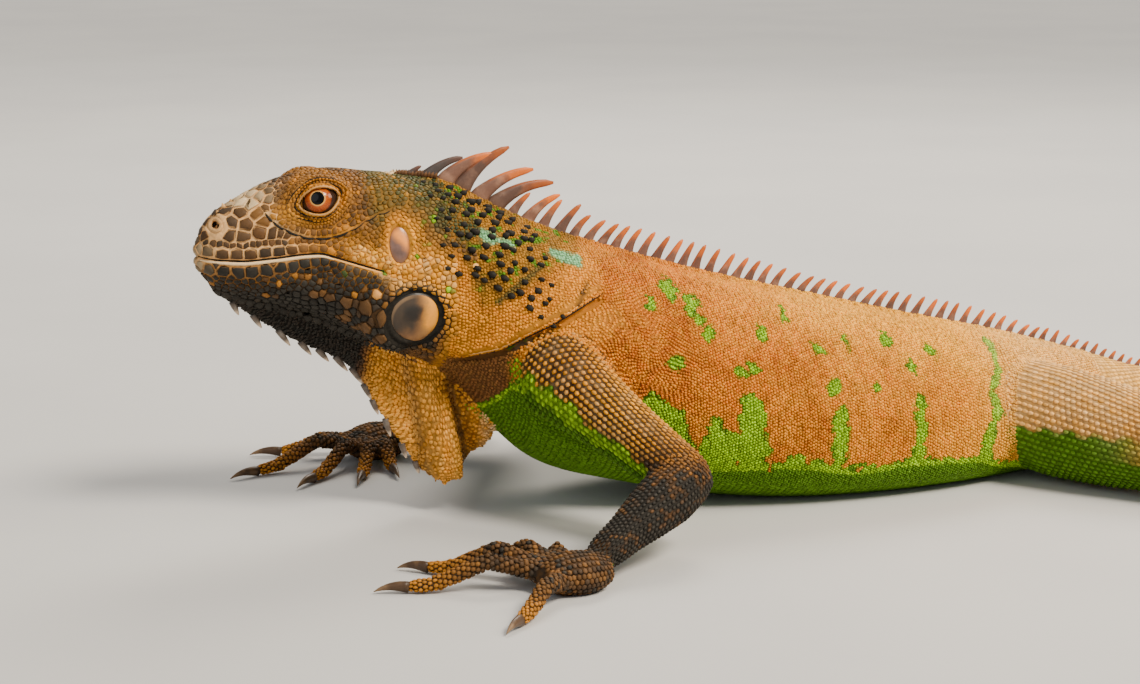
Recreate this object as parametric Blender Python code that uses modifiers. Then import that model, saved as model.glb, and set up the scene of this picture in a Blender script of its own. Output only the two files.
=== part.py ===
"""Adult green iguana of the red form, at rest on its belly: a life-size still model.

Metres, +Z up. The body lies along X with the snout towards -X, and the animal's left is -Y.
The origin is on the floor under the middle of the belly. Everything that touches the floor
is cut flat at Z = 0. The body is a loft of sections along the spine, parted by thin cuts.
"""

import math

import bmesh
import bpy
from mathutils import Matrix, Vector

MM = 0.001
GAP = 0.3 * MM  # between neighbouring pieces
HALF_GAP = GAP / 2
SNOUT_X = -266 * MM  # the snout's tip, from the middle of the belly

# The body's sections, in millimetres: distance from the snout, height of the top, of the
# bottom and of the widest place above the floor, half the width there, and the powers of
# the curves above and below it (2 is an ellipse, less is peaked, more is boxy).
BODY_SECTIONS = (
    (0, 108.5, 99, 103.5, 3.0, 2.1, 2.1),
    (2, 113, 95.5, 104, 6.0, 2.2, 2.2),
    (6, 118, 92, 104, 9.0, 2.4, 2.2),
    (15, 123.8, 88, 102, 12.0, 2.5, 2.1),
    (30, 130.8, 83.5, 99, 16.0, 2.4, 2.0),
    (48, 134.5, 77, 94, 20.0, 2.3, 2.0),
    (66, 132.5, 68, 88, 25.5, 2.2, 2.1),
    (80, 131, 62, 87, 28.0, 2.1, 2.1),
    (96, 127, 52, 87, 28.0, 1.9, 2.1),
    (112, 118.5, 33, 79, 32.0, 1.8, 2.1),
    (130, 109.5, 17, 65, 38.5, 1.8, 2.2),
    (158, 99.5, 8, 51, 45.0, 1.8, 2.3),
    (200, 87, 0, 39, 51.0, 1.8, 2.5),
    (240, 77, -2.5, 32, 53.5, 1.8, 2.8),
    (290, 65, -2.5, 27, 48.0, 1.8, 2.8),
    (330, 56, -2, 25, 36.0, 1.8, 2.5),
    (368, 45.5, 0.5, 23.5, 22.0, 1.9, 2.1),
    (400, 36, -0.6, 18, 16.5, 1.9, 2.0),
    (450, 30.5, -0.6, 15, 13.8, 1.9, 2.0),
    (550, 24, -0.6, 11.5, 10.8, 1.9, 2.0),
    (700, 18, -0.6, 8.5, 8.2, 2.0, 2.0),
    (900, 11.5, -0.5, 5.3, 5.3, 2.0, 2.0),
    (1100, 7.0, -0.4, 3.2, 3.3, 2.0, 2.0),
    (1250, 3.4, -0.4, 1.5, 1.7, 2.0, 2.0),
)
# Where thin cuts part the body: name, start and end in millimetres from the snout, the
# spacing of its sections and how many sides they have.
BODY_LENGTHS = (
    ("head", 0, 91.6, 6.5, 18),
    ("neck", 91.6, 119, 7, 18),
    ("trunk", 119, 372, 18, 18),
    ("tail_1", 372, 520, 18, 12),
    ("tail_2", 520, 690, 21, 10),
    ("tail_3", 690, 870, 24, 8),
    ("tail_4", 870, 1060, 27, 7),
    ("tail_5", 1060, 1250, 27, 6),
)
HEAD_END = BODY_LENGTHS[0][2] * MM
# The tail lies on the floor in a slow S.
TAIL_START, TAIL_END = 372 * MM, 1250 * MM
TAIL_SWING = math.radians(26)
TAIL_WAVES = 0.95

# The mouth's cut: height at the snout and where it ends, both in the head's side view.
MOUTH_SNOUT_Z, MOUTH_END_S, MOUTH_END_Z = 103.5 * MM, 66 * MM, 98 * MM

EYE_S, EYE_Y, EYE_Z, EYE_RADIUS = 44.5 * MM, 13.0 * MM, 123.5 * MM, 7.6 * MM
ORBIT_RADII = (12.5 * MM, 7.2 * MM, 10.5 * MM)
JOWL_S, JOWL_Y, JOWL_Z, JOWL_RADIUS = 77 * MM, 27.0 * MM, 79.5 * MM, 10.5 * MM
JOWL_THICKNESS = 3.2 * MM
CHEEK_RADII = (17 * MM, 9 * MM, 19 * MM)

# Crest spines, in millimetres: distance from the snout, length, then how the spacing and
# the length run on down the back. Angles are above the horizontal, at root and tip.
NAPE_SPINES = (
    (82, 6, 50, 20),
    (88.5, 17, 48, 5),
    (95.5, 25, 50, 0),
    (102, 26, 58, 20),
    (108.5, 26, 46, 4),
    (114.8, 27, 42, -4),
    (122, 12, 60, 35),
    (128, 18, 58, 15),
    (134.5, 14, 66, 40),
    (141, 15, 62, 38),
)
BACK_SPINE_START, BACK_SPINE_STEP = 147 * MM, 5.6 * MM
# (distance from the snout, spine length) along the back, in millimetres
BACK_SPINE_LENGTHS = ((147, 14), (190, 12), (268, 10.5), (330, 8.5), (370, 6), (400, 4.2), (460, 3))

# Dewlap, in millimetres from the snout and above the floor: where it hangs from and its
# free edge, chin to chest.
DEWLAP_ROOT = ((6, 95), (30, 88), (58, 78), (80, 72), (96, 66), (112, 58))
DEWLAP_EDGE = ((5, 89), (36, 69), (58, 57), (69.5, 38), (87, 13), (100, 12.5), (112, 27), (117, 45))
DEWLAP_THICKNESS = 3.0 * MM
DEWLAP_COLUMNS, DEWLAP_ROWS = 26, 4
# Pleats: place along the dewlap, half width along it, and how far it stands out to the left
DEWLAP_PLEATS = ((0.66, 0.055, 13 * MM), (0.87, 0.065, 9 * MM), (0.765, 0.04, -3 * MM))
GULAR_SPINES = ((0.05, 4.5), (0.09, 5.5), (0.14, 7), (0.19, 6), (0.24, 7), (0.29, 8.5), (0.35, 8))
GULAR_SPINES += ((0.40, 7), (0.45, 6), (0.50, 5), (0.54, 3.5))

# Joints of the limbs, in millimetres from the snout, from the middle plane (positive to the
# animal's outside) and above the floor. They aren't moving joints.
FORELEG = {
    "left": {"root": (128, 34, 58), "middle": (161, 91, 27), "end": (121, 117, 10)},
    "right": {"root": (128, 34, 58), "middle": (149, 84, 33), "end": (104, 89, 11)},
}
HINDLEG = {
    "left": {"root": (332, 18, 26), "middle": (381, 91, 17), "end": (440, 86, 11)},
    "right": {"root": (332, 14, 28), "middle": (356, 88, 26), "end": (409, 100, 11)},
}
# Radii along each length of limb, root to end: along the limb's flat and across it.
UPPER_ARM_RADII = ((15, 17), (13.5, 15), (12, 12.5), (11.5, 11), (10.5, 10))
FOREARM_RADII = ((10, 10), (11.5, 10.5), (10, 9), (8, 7.2), (7.5, 6))
THIGH_RADII = ((23, 22), (23, 22.5), (21.5, 20.5), (18, 17.5), (14.5, 14))
SHIN_RADII = ((12, 12), (13.5, 12.5), (11.5, 10.5), (9, 8.5), (8, 7.5))

# Feet: the palm's centre and half sizes, then each digit's heading (degrees outwards from
# straight ahead), length without the claw, and knuckle height. Digit 1 is the innermost.
FEET = {
    "hand_left": {
        "palm": (107, 125, 6.0),
        "palm_radii": (15, 13, 7.5),
        "heading": 10,
        "digits": ((-100, 22, 9), (-75, 34, 11), (-49, 44, 12), (-23, 46, 11), (40, 36, 8)),
        "claw": 11,
    },
    "hand_right": {
        "palm": (90, 90, 6.5),
        "palm_radii": (15, 12.5, 8),
        "heading": -22,
        "digits": ((-66, 20, 8), (-46, 31, 9), (-25, 41, 10), (2, 47, 11), (38, 29, 8)),
        "claw": 12,
    },
    "foot_left": {
        "palm": (436, 104, 6.5),
        "palm_radii": (17, 13, 8),
        "heading": 66,
        "digits": ((-42, 19, 6), (-22, 30, 7), (-6, 42, 8), (8, 58, 8), (40, 33, 7)),
        "claw": 11,
    },
    "foot_right": {
        "palm": (401, 117, 6.5),
        "palm_radii": (17, 13, 8),
        "heading": 52,
        "digits": ((-42, 19, 6), (-22, 30, 7), (-6, 42, 8), (8, 58, 8), (40, 33, 7)),
        "claw": 11,
    },
}
DIGIT_RADIUS, DIGIT_TIP_RADIUS = 3.6 * MM, 2.5 * MM
# A rounded end stands out by this share of its radius and narrows to this share of it.
ROUND_END, ROUND_END_WIDTH = 0.7, 0.62
CLAW_RADIUS = 2.1 * MM
SIDES = {"left": -1, "right": 1}

# Colour and roughness of the pieces whose names start with each word; the rest are red hide.
RED_HIDE = ((0.40, 0.17, 0.055), 0.55)
FINISHES = {
    "head": ((0.28, 0.17, 0.08), 0.5),
    "lower": ((0.20, 0.13, 0.07), 0.5),
    "jowl": ((0.33, 0.20, 0.11), 0.35),
    "claw": ((0.16, 0.10, 0.06), 0.3),
    "eye": ((0.45, 0.14, 0.03), 0.08),
    "hand": ((0.20, 0.11, 0.06), 0.55),
    "foot": ((0.20, 0.11, 0.06), 0.55),
}


# ---------------------------------------------------------------- curves and paths


def smooth_row(table, at):
    """The row of numbers at a place in a table, on a smooth curve through the table's rows."""
    last = len(table) - 1
    i = next((k for k in range(last) if at <= table[k + 1][0]), last - 1)

    def slope(k, column):
        before, after = table[max(k - 1, 0)], table[min(k + 1, last)]
        return (after[column] - before[column]) / (after[0] - before[0])

    low, high = table[i], table[i + 1]
    span = high[0] - low[0]
    t = min(max((at - low[0]) / span, 0.0), 1.0)
    rising, falling = (1 + 2 * t) * (1 - t) ** 2, t * t * (3 - 2 * t)
    leaving, arriving = t * (1 - t) ** 2 * span, t * t * (t - 1) * span
    return [
        rising * low[c] + falling * high[c] + leaving * slope(i, c) + arriving * slope(i + 1, c)
        for c in range(1, len(low))
    ]


def tail_heading(distance):
    """Which way the tail points in plan at a distance from the snout, in radians."""
    t = (distance - TAIL_START) / (TAIL_END - TAIL_START)
    return TAIL_SWING * math.sin(2 * math.pi * TAIL_WAVES * t) if t > 0 else 0.0


def spine_at(distance):
    """The point on the floor under the spine, and its heading, at a distance from the snout."""
    if distance <= TAIL_START:
        return Vector((SNOUT_X + distance, 0, 0)), 0.0
    point, steps = Vector((SNOUT_X + TAIL_START, 0, 0)), 60
    step = (distance - TAIL_START) / steps
    for i in range(steps):
        heading = tail_heading(TAIL_START + (i + 0.5) * step)
        point += Vector((math.cos(heading), math.sin(heading), 0)) * step
    return point, tail_heading(distance)


def power_curve(value, power):
    return math.copysign(abs(value) ** (2 / power), value)


def body_section(distance, sides):
    """One closed section of the body, from the back round the left side."""
    top, bottom, widest, half, over, under = smooth_row(BODY_SECTIONS, distance / MM)
    middle, heading = spine_at(distance)
    across = Vector((math.sin(heading), -math.cos(heading), 0))
    ring = []
    for i in range(sides):
        angle = 2 * math.pi * i / sides
        above = math.cos(angle) >= 0
        power, reach = (over, top - widest) if above else (under, widest - bottom)
        out = half * power_curve(math.sin(angle), power)
        up = widest + reach * power_curve(math.cos(angle), power)
        ring.append(middle + across * (out * MM) + Vector((0, 0, up * MM)))
    return ring


def back_height(distance):
    return smooth_row(BODY_SECTIONS, distance / MM)[0] * MM


def on_side(distance, out, up, side):
    """A point given in millimetres from the snout, from the middle plane and above the floor."""
    return Vector((SNOUT_X + distance * MM, SIDES[side] * out * MM, up * MM))


def bezier(points, t):
    """A point on the Bezier curve with these control points."""
    row = [Vector(p) for p in points]
    while len(row) > 1:
        row = [a.lerp(b, t) for a, b in zip(row, row[1:])]
    return row[0]


# ---------------------------------------------------------------- meshes


def new_object(name, mesh_data):
    obj = bpy.data.objects.new(name, mesh_data)
    bpy.data.collections["iguana"].objects.link(obj)
    return obj


def loft(name, rings):
    """A closed solid through rings of points, with flat ends."""
    mesh = bmesh.new()
    loops = [[mesh.verts.new(p) for p in ring] for ring in rings]
    sides = len(loops[0])
    for one, other in zip(loops, loops[1:]):
        for i in range(sides):
            j = (i + 1) % sides
            mesh.faces.new((one[i], one[j], other[j], other[i]))
    mesh.faces.new(loops[0])
    mesh.faces.new(loops[-1])
    bmesh.ops.recalc_face_normals(mesh, faces=mesh.faces)
    data = bpy.data.meshes.new(name)
    mesh.to_mesh(data)
    mesh.free()
    return new_object(name, data)


def tube(name, path, radii, sides, up=Vector((0, 0, 1)), round_ends=(True, True)):
    """A solid along a path, with a (flat, across) radius at each of its points."""
    path = [Vector(p) for p in path]
    tangents = []
    for i in range(len(path)):
        tangents.append((path[min(i + 1, len(path) - 1)] - path[max(i - 1, 0)]).normalized())
    stations = list(zip(path, radii, tangents))
    head, tail = stations[0], stations[-1]
    if round_ends[0]:
        start = head[0] - head[2] * head[1][0] * ROUND_END
        stations.insert(0, (start, [r * ROUND_END_WIDTH for r in head[1]], head[2]))
    if round_ends[1]:
        end = tail[0] + tail[2] * tail[1][0] * ROUND_END
        stations.append((end, [r * ROUND_END_WIDTH for r in tail[1]], tail[2]))
    rings = []
    for point, (flat, across), tangent in stations:
        side = tangent.cross(up).normalized()
        rise = side.cross(tangent)
        angles = [2 * math.pi * (k + 0.5) / sides for k in range(sides)]
        rings.append([point + side * (math.cos(a) * flat) + rise * (math.sin(a) * across) for a in angles])
    return loft(name, rings)


def ellipsoid(name, centre, radii, segments=10, rings=6, turn=None):
    mesh = bmesh.new()
    bmesh.ops.create_uvsphere(mesh, u_segments=segments, v_segments=rings, radius=1)
    bmesh.ops.scale(mesh, vec=radii, verts=mesh.verts)
    if turn:
        bmesh.ops.rotate(mesh, matrix=turn, verts=mesh.verts)
    bmesh.ops.translate(mesh, vec=centre, verts=mesh.verts)
    data = bpy.data.meshes.new(name)
    mesh.to_mesh(data)
    mesh.free()
    return new_object(name, data)


def block(name, low, high):
    """A box between two corners, used as a cutter."""
    mesh = bmesh.new()
    bmesh.ops.create_cube(mesh, size=1)
    low, high = Vector(low), Vector(high)
    bmesh.ops.scale(mesh, vec=high - low, verts=mesh.verts)
    bmesh.ops.translate(mesh, vec=(low + high) / 2, verts=mesh.verts)
    data = bpy.data.meshes.new(name)
    mesh.to_mesh(data)
    mesh.free()
    return new_object(name, data)


def evaluate(obj):
    """Replaces an object's mesh by what its modifiers make of it."""
    graph = bpy.context.evaluated_depsgraph_get()
    graph.update()
    made = bpy.data.meshes.new_from_object(obj.evaluated_get(graph))
    obj.modifiers.clear()
    obj.data = made


def boolean(obj, other, operation):
    """Joins, cuts or intersects obj with other, which is then removed."""
    modifier = obj.modifiers.new("boolean", "BOOLEAN")
    modifier.operation = operation
    modifier.solver = "EXACT"
    modifier.object = other
    evaluate(obj)
    bpy.data.objects.remove(other)
    mesh = bmesh.new()
    mesh.from_mesh(obj.data)
    bmesh.ops.remove_doubles(mesh, verts=mesh.verts, dist=0.01 * MM)
    bmesh.ops.dissolve_degenerate(mesh, edges=mesh.edges, dist=0.01 * MM)
    bmesh.ops.triangulate(mesh, faces=mesh.faces)
    mesh.to_mesh(obj.data)
    mesh.free()


def cut_clear_of(obj, neighbours):
    """Cuts obj back from its neighbours, leaving the gap between them."""
    for neighbour in neighbours:
        grown = new_object("grown", neighbour.data.copy())
        swell = grown.modifiers.new("swell", "DISPLACE")
        swell.mid_level = 0
        swell.strength = GAP * 1.25
        evaluate(grown)
        boolean(obj, grown, "DIFFERENCE")


def cut_at_floor(obj):
    """Makes the flats that the animal rests on."""
    reach = 2.0
    floor = block("floor", (-reach, -reach, -reach), (reach, reach, 0))
    boolean(obj, floor, "DIFFERENCE")


def keep_largest(obj):
    """Drops the slivers that a cut can leave beside the piece itself."""
    mesh = bmesh.new()
    mesh.from_mesh(obj.data)
    islands, seen = [], set()
    for start in mesh.verts:
        if start in seen:
            continue
        island, todo = [], [start]
        seen.add(start)
        while todo:
            vert = todo.pop()
            island.append(vert)
            for edge in vert.link_edges:
                other = edge.other_vert(vert)
                if other not in seen:
                    seen.add(other)
                    todo.append(other)
        islands.append(island)
    largest = max(islands, key=len)
    for island in islands:
        if island is not largest:
            bmesh.ops.delete(mesh, geom=island, context="VERTS")
    mesh.to_mesh(obj.data)
    mesh.free()


# ---------------------------------------------------------------- the body


def make_body_length(name, start, end, spacing, sides):
    """One length of the body, with half the gap left at each end."""
    start, end, spacing = start * MM + HALF_GAP, end * MM - HALF_GAP, spacing * MM
    count = max(2, round((end - start) / spacing))
    places = [start + (end - start) * i / count for i in range(count + 1)]
    rings = [body_section(place, sides) for place in places]
    return loft(name, rings)


def spine_cone(name, root, heading, length, rise, tip_rise):
    """One crest spine: flat sideways, curving backwards, its foot sunk in the back."""
    steps = 3 if length > 15 * MM else 2 if length > 7 * MM else 1
    foot = 0.12 * length + 1.3 * MM
    ahead = Vector((math.cos(heading), math.sin(heading), 0))
    sunk = 1.5 * MM
    path, radii = [root - Vector((0, 0, sunk))], [(foot * 0.5, foot)]
    point = Vector(root)
    for i in range(steps):
        angle = math.radians(rise + (tip_rise - rise) * (i + 0.5) / steps)
        point = point + (ahead * math.cos(angle) + Vector((0, 0, math.sin(angle)))) * (length / steps)
        left = 1 - (i + 1) / steps
        radii.append((max(foot * 0.5 * left**0.7, 0.35 * MM), max(foot * left**0.6, 0.45 * MM)))
        path.append(point)
    return tube(name, path, radii, 4, round_ends=(False, False))


def crest_spines():
    """(distance from the snout, length, root angle, tip angle) of every spine of the crest."""
    spines = [(s * MM, length * MM, rise, tip) for s, length, rise, tip in NAPE_SPINES]
    place = BACK_SPINE_START
    while place < BACK_SPINE_LENGTHS[-1][0] * MM:
        length = smooth_row(BACK_SPINE_LENGTHS, place / MM)[0] * MM
        spines.append((place, length, 68, 42))
        place += BACK_SPINE_STEP * (0.55 + 0.45 * min(1, length / (10 * MM)))
    return spines


def add_crest(lengths):
    """Joins each spine to the length of body that it grows from."""
    groups = {}
    for place, length, rise, tip in crest_spines():
        for name, start, end, _, _ in BODY_LENGTHS:
            edge = 3.2 * MM
            if start * MM + edge < place < end * MM - edge:
                groups.setdefault(name, []).append((place, length, rise, tip))
    for name, spines in groups.items():
        for place, length, rise, tip in spines:
            point, heading = spine_at(place)
            root = point + Vector((0, 0, back_height(place)))
            boolean(lengths[name], spine_cone("spine", root, heading, length, rise, tip), "UNION")
    for name, behind in (("head", "neck"), ("neck", "trunk")):
        cut_clear_of(lengths[name], [lengths[behind]])


def make_head(lengths):
    """Adds the orbits and cheeks to the skull, then parts the lower jaw and opens the sockets."""
    head = lengths["head"]
    for side in SIDES:
        orbit = on_side(EYE_S / MM, EYE_Y / MM, EYE_Z / MM, side)
        boolean(head, ellipsoid("orbit", orbit, ORBIT_RADII), "UNION")
        cheek = on_side(JOWL_S / MM - 5, 19, JOWL_Z / MM + 6, side)
        boolean(head, ellipsoid("cheek", cheek, CHEEK_RADII), "UNION")
    back = block("back", (SNOUT_X + HEAD_END - HALF_GAP, -1, -1), (1, 1, 1))
    boolean(head, back, "DIFFERENCE")

    jaw = new_object("lower_jaw", head.data.copy())
    slope = math.atan2(MOUTH_SNOUT_Z - MOUTH_END_Z, MOUTH_END_S)
    for piece, operation, clearance in ((jaw, "INTERSECT", -HALF_GAP), (head, "DIFFERENCE", HALF_GAP)):
        below = block("below_mouth", (-0.02, -0.1, -0.1), (MOUTH_END_S + clearance, 0.1, clearance))
        turn = Matrix.Rotation(slope, 4, "Y")
        below.data.transform(Matrix.Translation((SNOUT_X, 0, MOUTH_SNOUT_Z)) @ turn)
        boolean(piece, below, operation)

    for side in SIDES:
        eye_at = on_side(EYE_S / MM, EYE_Y / MM, EYE_Z / MM, side)
        socket_radius = EYE_RADIUS + GAP * 1.25
        turn = Matrix.Rotation(math.pi / 2, 3, "X")
        socket = ellipsoid("socket", eye_at, (socket_radius,) * 3, 12, 8, turn)
        boolean(head, socket, "DIFFERENCE")
        ellipsoid("eye_" + side, eye_at, (EYE_RADIUS - 0.1 * MM,) * 3, 12, 8, turn)
    for piece in (head, jaw):
        keep_largest(piece)
    return head, jaw


def make_jowl_plates(head):
    """The great round scale under each ear, sitting on the cheek."""
    for side, sign in SIDES.items():
        centre = on_side(JOWL_S / MM, JOWL_Y / MM, JOWL_Z / MM, side)
        radii = (JOWL_RADIUS, JOWL_THICKNESS, JOWL_RADIUS)
        lean = Matrix.Rotation(math.radians(-8) * sign, 3, "X")
        plate = ellipsoid("jowl_plate_" + side, centre, radii, 14, 6, lean)
        cut_clear_of(plate, [head])
        keep_largest(plate)


def dewlap_point(along, down):
    """A point of the dewlap's middle surface: along from chin to chest, down from the throat."""
    shift = along * (len(DEWLAP_ROOT) - 1)
    root = smooth_row([(i, *p) for i, p in enumerate(DEWLAP_ROOT)], shift)
    shift = along * (len(DEWLAP_EDGE) - 1)
    edge = smooth_row([(i, *p) for i, p in enumerate(DEWLAP_EDGE)], shift)
    out = 0.0
    for place, half_width, depth in DEWLAP_PLEATS:
        out -= depth * math.exp(-(((along - place) / half_width) ** 2)) * down**0.8
    return Vector(
        (
            SNOUT_X + (root[0] + (edge[0] - root[0]) * down) * MM,
            out,
            (root[1] + (edge[1] - root[1]) * down) * MM,
        )
    )


def make_dewlap(neighbours):
    """The pleated throat fan with its fringe of spines."""
    mesh = bmesh.new()
    grid = []
    for i in range(DEWLAP_COLUMNS + 1):
        column = []
        for j in range(DEWLAP_ROWS + 1):
            column.append(mesh.verts.new(dewlap_point(i / DEWLAP_COLUMNS, j / DEWLAP_ROWS)))
        grid.append(column)
    for one, other in zip(grid, grid[1:]):
        for j in range(DEWLAP_ROWS):
            mesh.faces.new((one[j], other[j], other[j + 1], one[j + 1]))
    data = bpy.data.meshes.new("dewlap")
    mesh.to_mesh(data)
    mesh.free()
    dewlap = new_object("dewlap", data)
    wall = dewlap.modifiers.new("wall", "SOLIDIFY")
    wall.thickness = DEWLAP_THICKNESS
    wall.offset = 0
    evaluate(dewlap)
    for along, length in GULAR_SPINES:
        tip_from = dewlap_point(along, 0.9)
        edge = dewlap_point(along, 1.0)
        outward = (edge - tip_from).normalized()
        path = [edge - outward * 2 * MM, edge + outward * length * 0.5 * MM]
        path.append(edge + outward * length * MM + Vector((0.8 * MM, 0, 0)))
        radii = ((1.6 * MM, 2.7 * MM), (1.4 * MM, 2.0 * MM), (0.4 * MM, 0.4 * MM))
        spine = tube("fringe", path, radii, 4, up=Vector((0, 1, 0)), round_ends=(False, False))
        boolean(dewlap, spine, "UNION")
    cut_clear_of(dewlap, neighbours)
    keep_largest(dewlap)
    return dewlap


# ---------------------------------------------------------------- limbs and feet


def make_limb_length(name, start, end, radii, sides=10):
    start, end = Vector(start), Vector(end)
    places = [start.lerp(end, i / (len(radii) - 1)) for i in range(len(radii))]
    radii = [(flat * MM, across * MM) for flat, across in radii]
    return tube(name, places, radii, sides)


def make_leg(side, joints, names, radii):
    """The two lengths of a leg, from the body outwards."""
    root, middle, end = (on_side(*joints[key], side) for key in ("root", "middle", "end"))
    upper = make_limb_length(names[0] + side, root, middle, radii[0])
    lower = make_limb_length(names[1] + side, middle, end, radii[1])
    return upper, lower


def digit_path(foot, digit, side):
    """Points of a digit from inside the palm to the base of its claw, arched over a knuckle."""
    heading, length, knuckle = foot["digits"][digit]
    palm = on_side(*foot["palm"], side)
    turn = math.radians(foot["heading"] + heading)
    ahead = Vector((-math.cos(turn), SIDES[side] * math.sin(turn), 0))
    palm_reach = foot["palm_radii"][1] * 0.8 * MM
    low = DIGIT_TIP_RADIUS * 0.95
    start = palm + ahead * palm_reach * 0.35
    start.z = palm.z
    points = [start]
    for share, height in ((0.0, palm.z), (0.42, knuckle * MM), (0.8, low * 1.5), (1.0, low)):
        point = palm + ahead * (palm_reach + length * MM * share)
        point.z = max(height, low)
        points.append(point)
    return points, ahead


def make_foot(name):
    """A palm and its five digits as one solid, and the claw of each digit."""
    foot, side = FEET[name], name.rsplit("_", 1)[1]
    palm_turn = Matrix.Rotation(-SIDES[side] * math.radians(foot["heading"]), 3, "Z")
    radii = [r * MM for r in foot["palm_radii"]]
    body = ellipsoid(name, on_side(*foot["palm"], side), radii, turn=palm_turn)
    claws = []
    for digit in range(len(foot["digits"])):
        points, ahead = digit_path(foot, digit, side)
        count = len(points)
        thick = [DIGIT_RADIUS + (DIGIT_TIP_RADIUS - DIGIT_RADIUS) * i / (count - 1) for i in range(count)]
        toe = tube("digit", points, [(r, r) for r in thick], 6, round_ends=(False, True))
        boolean(body, toe, "UNION")
        end = (points[-1] - points[-2]).normalized() * (DIGIT_TIP_RADIUS * ROUND_END + GAP * 2)
        tip, length = points[-1] + end, foot["claw"] * MM
        rise = Vector((0, 0, 0.06 * length))
        drop = Vector((0, 0, CLAW_RADIUS * 0.8 - tip.z))
        curve = (tip, tip + ahead * length * 0.5 + rise, tip + ahead * length + drop)
        path = [bezier(curve, t) for t in (0, 0.5, 1.0)]
        widths = [CLAW_RADIUS, CLAW_RADIUS * 0.7, 0.45 * MM]
        claw_name = f"claw_{name}_{digit + 1}"
        claw = tube(claw_name, path, [(0.8 * w, w) for w in widths], 6, round_ends=(False, False))
        claws.append(claw)
    return body, claws


# ---------------------------------------------------------------- the whole animal


def paint(obj):
    """Gives the piece a material of its own."""
    colour, roughness = FINISHES.get(obj.name.split("_")[0], RED_HIDE)
    material = bpy.data.materials.new(obj.name)
    material.use_nodes = True
    shader = material.node_tree.nodes["Principled BSDF"]
    shader.inputs["Base Color"].default_value = (*colour, 1)
    shader.inputs["Roughness"].default_value = roughness
    shader.inputs["Metallic"].default_value = 0
    material.diffuse_color = (*colour, 1)
    obj.data.materials.clear()
    obj.data.materials.append(material)


def tidy(obj):
    """Takes out the edges that lie in an almost flat stretch of surface."""
    mesh = bmesh.new()
    mesh.from_mesh(obj.data)
    bmesh.ops.dissolve_limit(mesh, angle_limit=math.radians(0.6), verts=mesh.verts, edges=mesh.edges)
    bmesh.ops.triangulate(mesh, faces=mesh.faces)
    mesh.to_mesh(obj.data)
    mesh.free()


def shade(obj):
    obj.data.shade_smooth()
    obj.data.set_sharp_from_angle(angle=math.radians(50))


def main():
    for obj in list(bpy.data.objects):
        bpy.data.objects.remove(obj)
    collection = bpy.data.collections.new("iguana")
    bpy.context.scene.collection.children.link(collection)

    lengths = {row[0]: make_body_length(*row) for row in BODY_LENGTHS}
    add_crest(lengths)
    head, jaw = make_head(lengths)
    make_jowl_plates(head)
    make_dewlap([head, jaw, lengths["neck"], lengths["trunk"]])

    for side in SIDES:
        arm = make_leg(side, FORELEG[side], ("upper_arm_", "forearm_"), (UPPER_ARM_RADII, FOREARM_RADII))
        leg = make_leg(side, HINDLEG[side], ("thigh_", "shin_"), (THIGH_RADII, SHIN_RADII))
        for (upper, lower), foot_name in ((arm, "hand_" + side), (leg, "foot_" + side)):
            foot, claws = make_foot(foot_name)
            body = [lengths["trunk"], lengths["neck"], lengths["tail_1"]]
            cut_clear_of(upper, body)
            cut_clear_of(lower, [*body, upper])
            cut_clear_of(foot, [lower, upper])
            for claw in claws:
                cut_at_floor(claw)
            for piece in (upper, lower, foot):
                keep_largest(piece)
                cut_at_floor(piece)
    for name in ("trunk", "tail_1", "tail_2", "tail_3", "tail_4", "tail_5"):
        cut_at_floor(lengths[name])
    for obj in collection.objects:
        tidy(obj)
        paint(obj)
        shade(obj)


main()
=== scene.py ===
"""The hide, scales, spines, eyes and claws of a life-size adult green iguana of the red form.

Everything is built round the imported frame. Shapes are worked out in millimetres as (s, y, z):
s runs from the snout's tip towards the tail, y from the middle plane (the animal's left is
negative) and z up from the floor. finish_piece() turns them into the frame's metres.
"""

import math
from collections import namedtuple

import bmesh
import bpy
import numpy as np
from bpy.props import FloatProperty, FloatVectorProperty, PointerProperty
from bpy.types import Operator, Panel, PropertyGroup
from mathutils import Matrix, Vector
from mathutils.bvhtree import BVHTree
from mathutils.kdtree import KDTree


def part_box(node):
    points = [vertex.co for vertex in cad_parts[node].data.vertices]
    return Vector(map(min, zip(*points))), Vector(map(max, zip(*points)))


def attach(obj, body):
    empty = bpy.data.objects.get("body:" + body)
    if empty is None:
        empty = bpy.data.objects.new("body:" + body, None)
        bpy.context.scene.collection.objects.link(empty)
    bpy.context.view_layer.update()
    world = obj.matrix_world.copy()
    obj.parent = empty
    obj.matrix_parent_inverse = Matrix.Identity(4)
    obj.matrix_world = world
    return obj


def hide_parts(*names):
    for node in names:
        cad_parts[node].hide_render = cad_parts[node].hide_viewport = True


bl_info = {
    "name": "Red Iguana Model",
    "version": (1, 0, 0),
    "blender": (4, 5, 0),
    "location": "3D View > Sidebar > Iguana",
    "description": "Dresses the iguana's solids in hide, scales, spines, eyes and claws",
    "category": "Object",
}

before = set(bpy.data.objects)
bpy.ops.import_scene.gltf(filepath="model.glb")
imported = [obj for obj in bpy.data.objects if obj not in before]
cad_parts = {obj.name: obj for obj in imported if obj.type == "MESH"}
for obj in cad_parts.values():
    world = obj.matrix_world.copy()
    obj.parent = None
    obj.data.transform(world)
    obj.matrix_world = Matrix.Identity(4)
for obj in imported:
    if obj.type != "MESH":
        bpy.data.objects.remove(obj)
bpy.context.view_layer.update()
SNOUT_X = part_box("head")[0][0]  # metres
MM = 0.001
SIDES = {"left": -1, "right": 1}
UP = np.array((0.0, 0.0, 1.0))
MADE = {}  # what one operator hands on to the next: the hide's surface and the parts' shapes

# ---------------------------------------------------------------- the animal's own sizes

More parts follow.
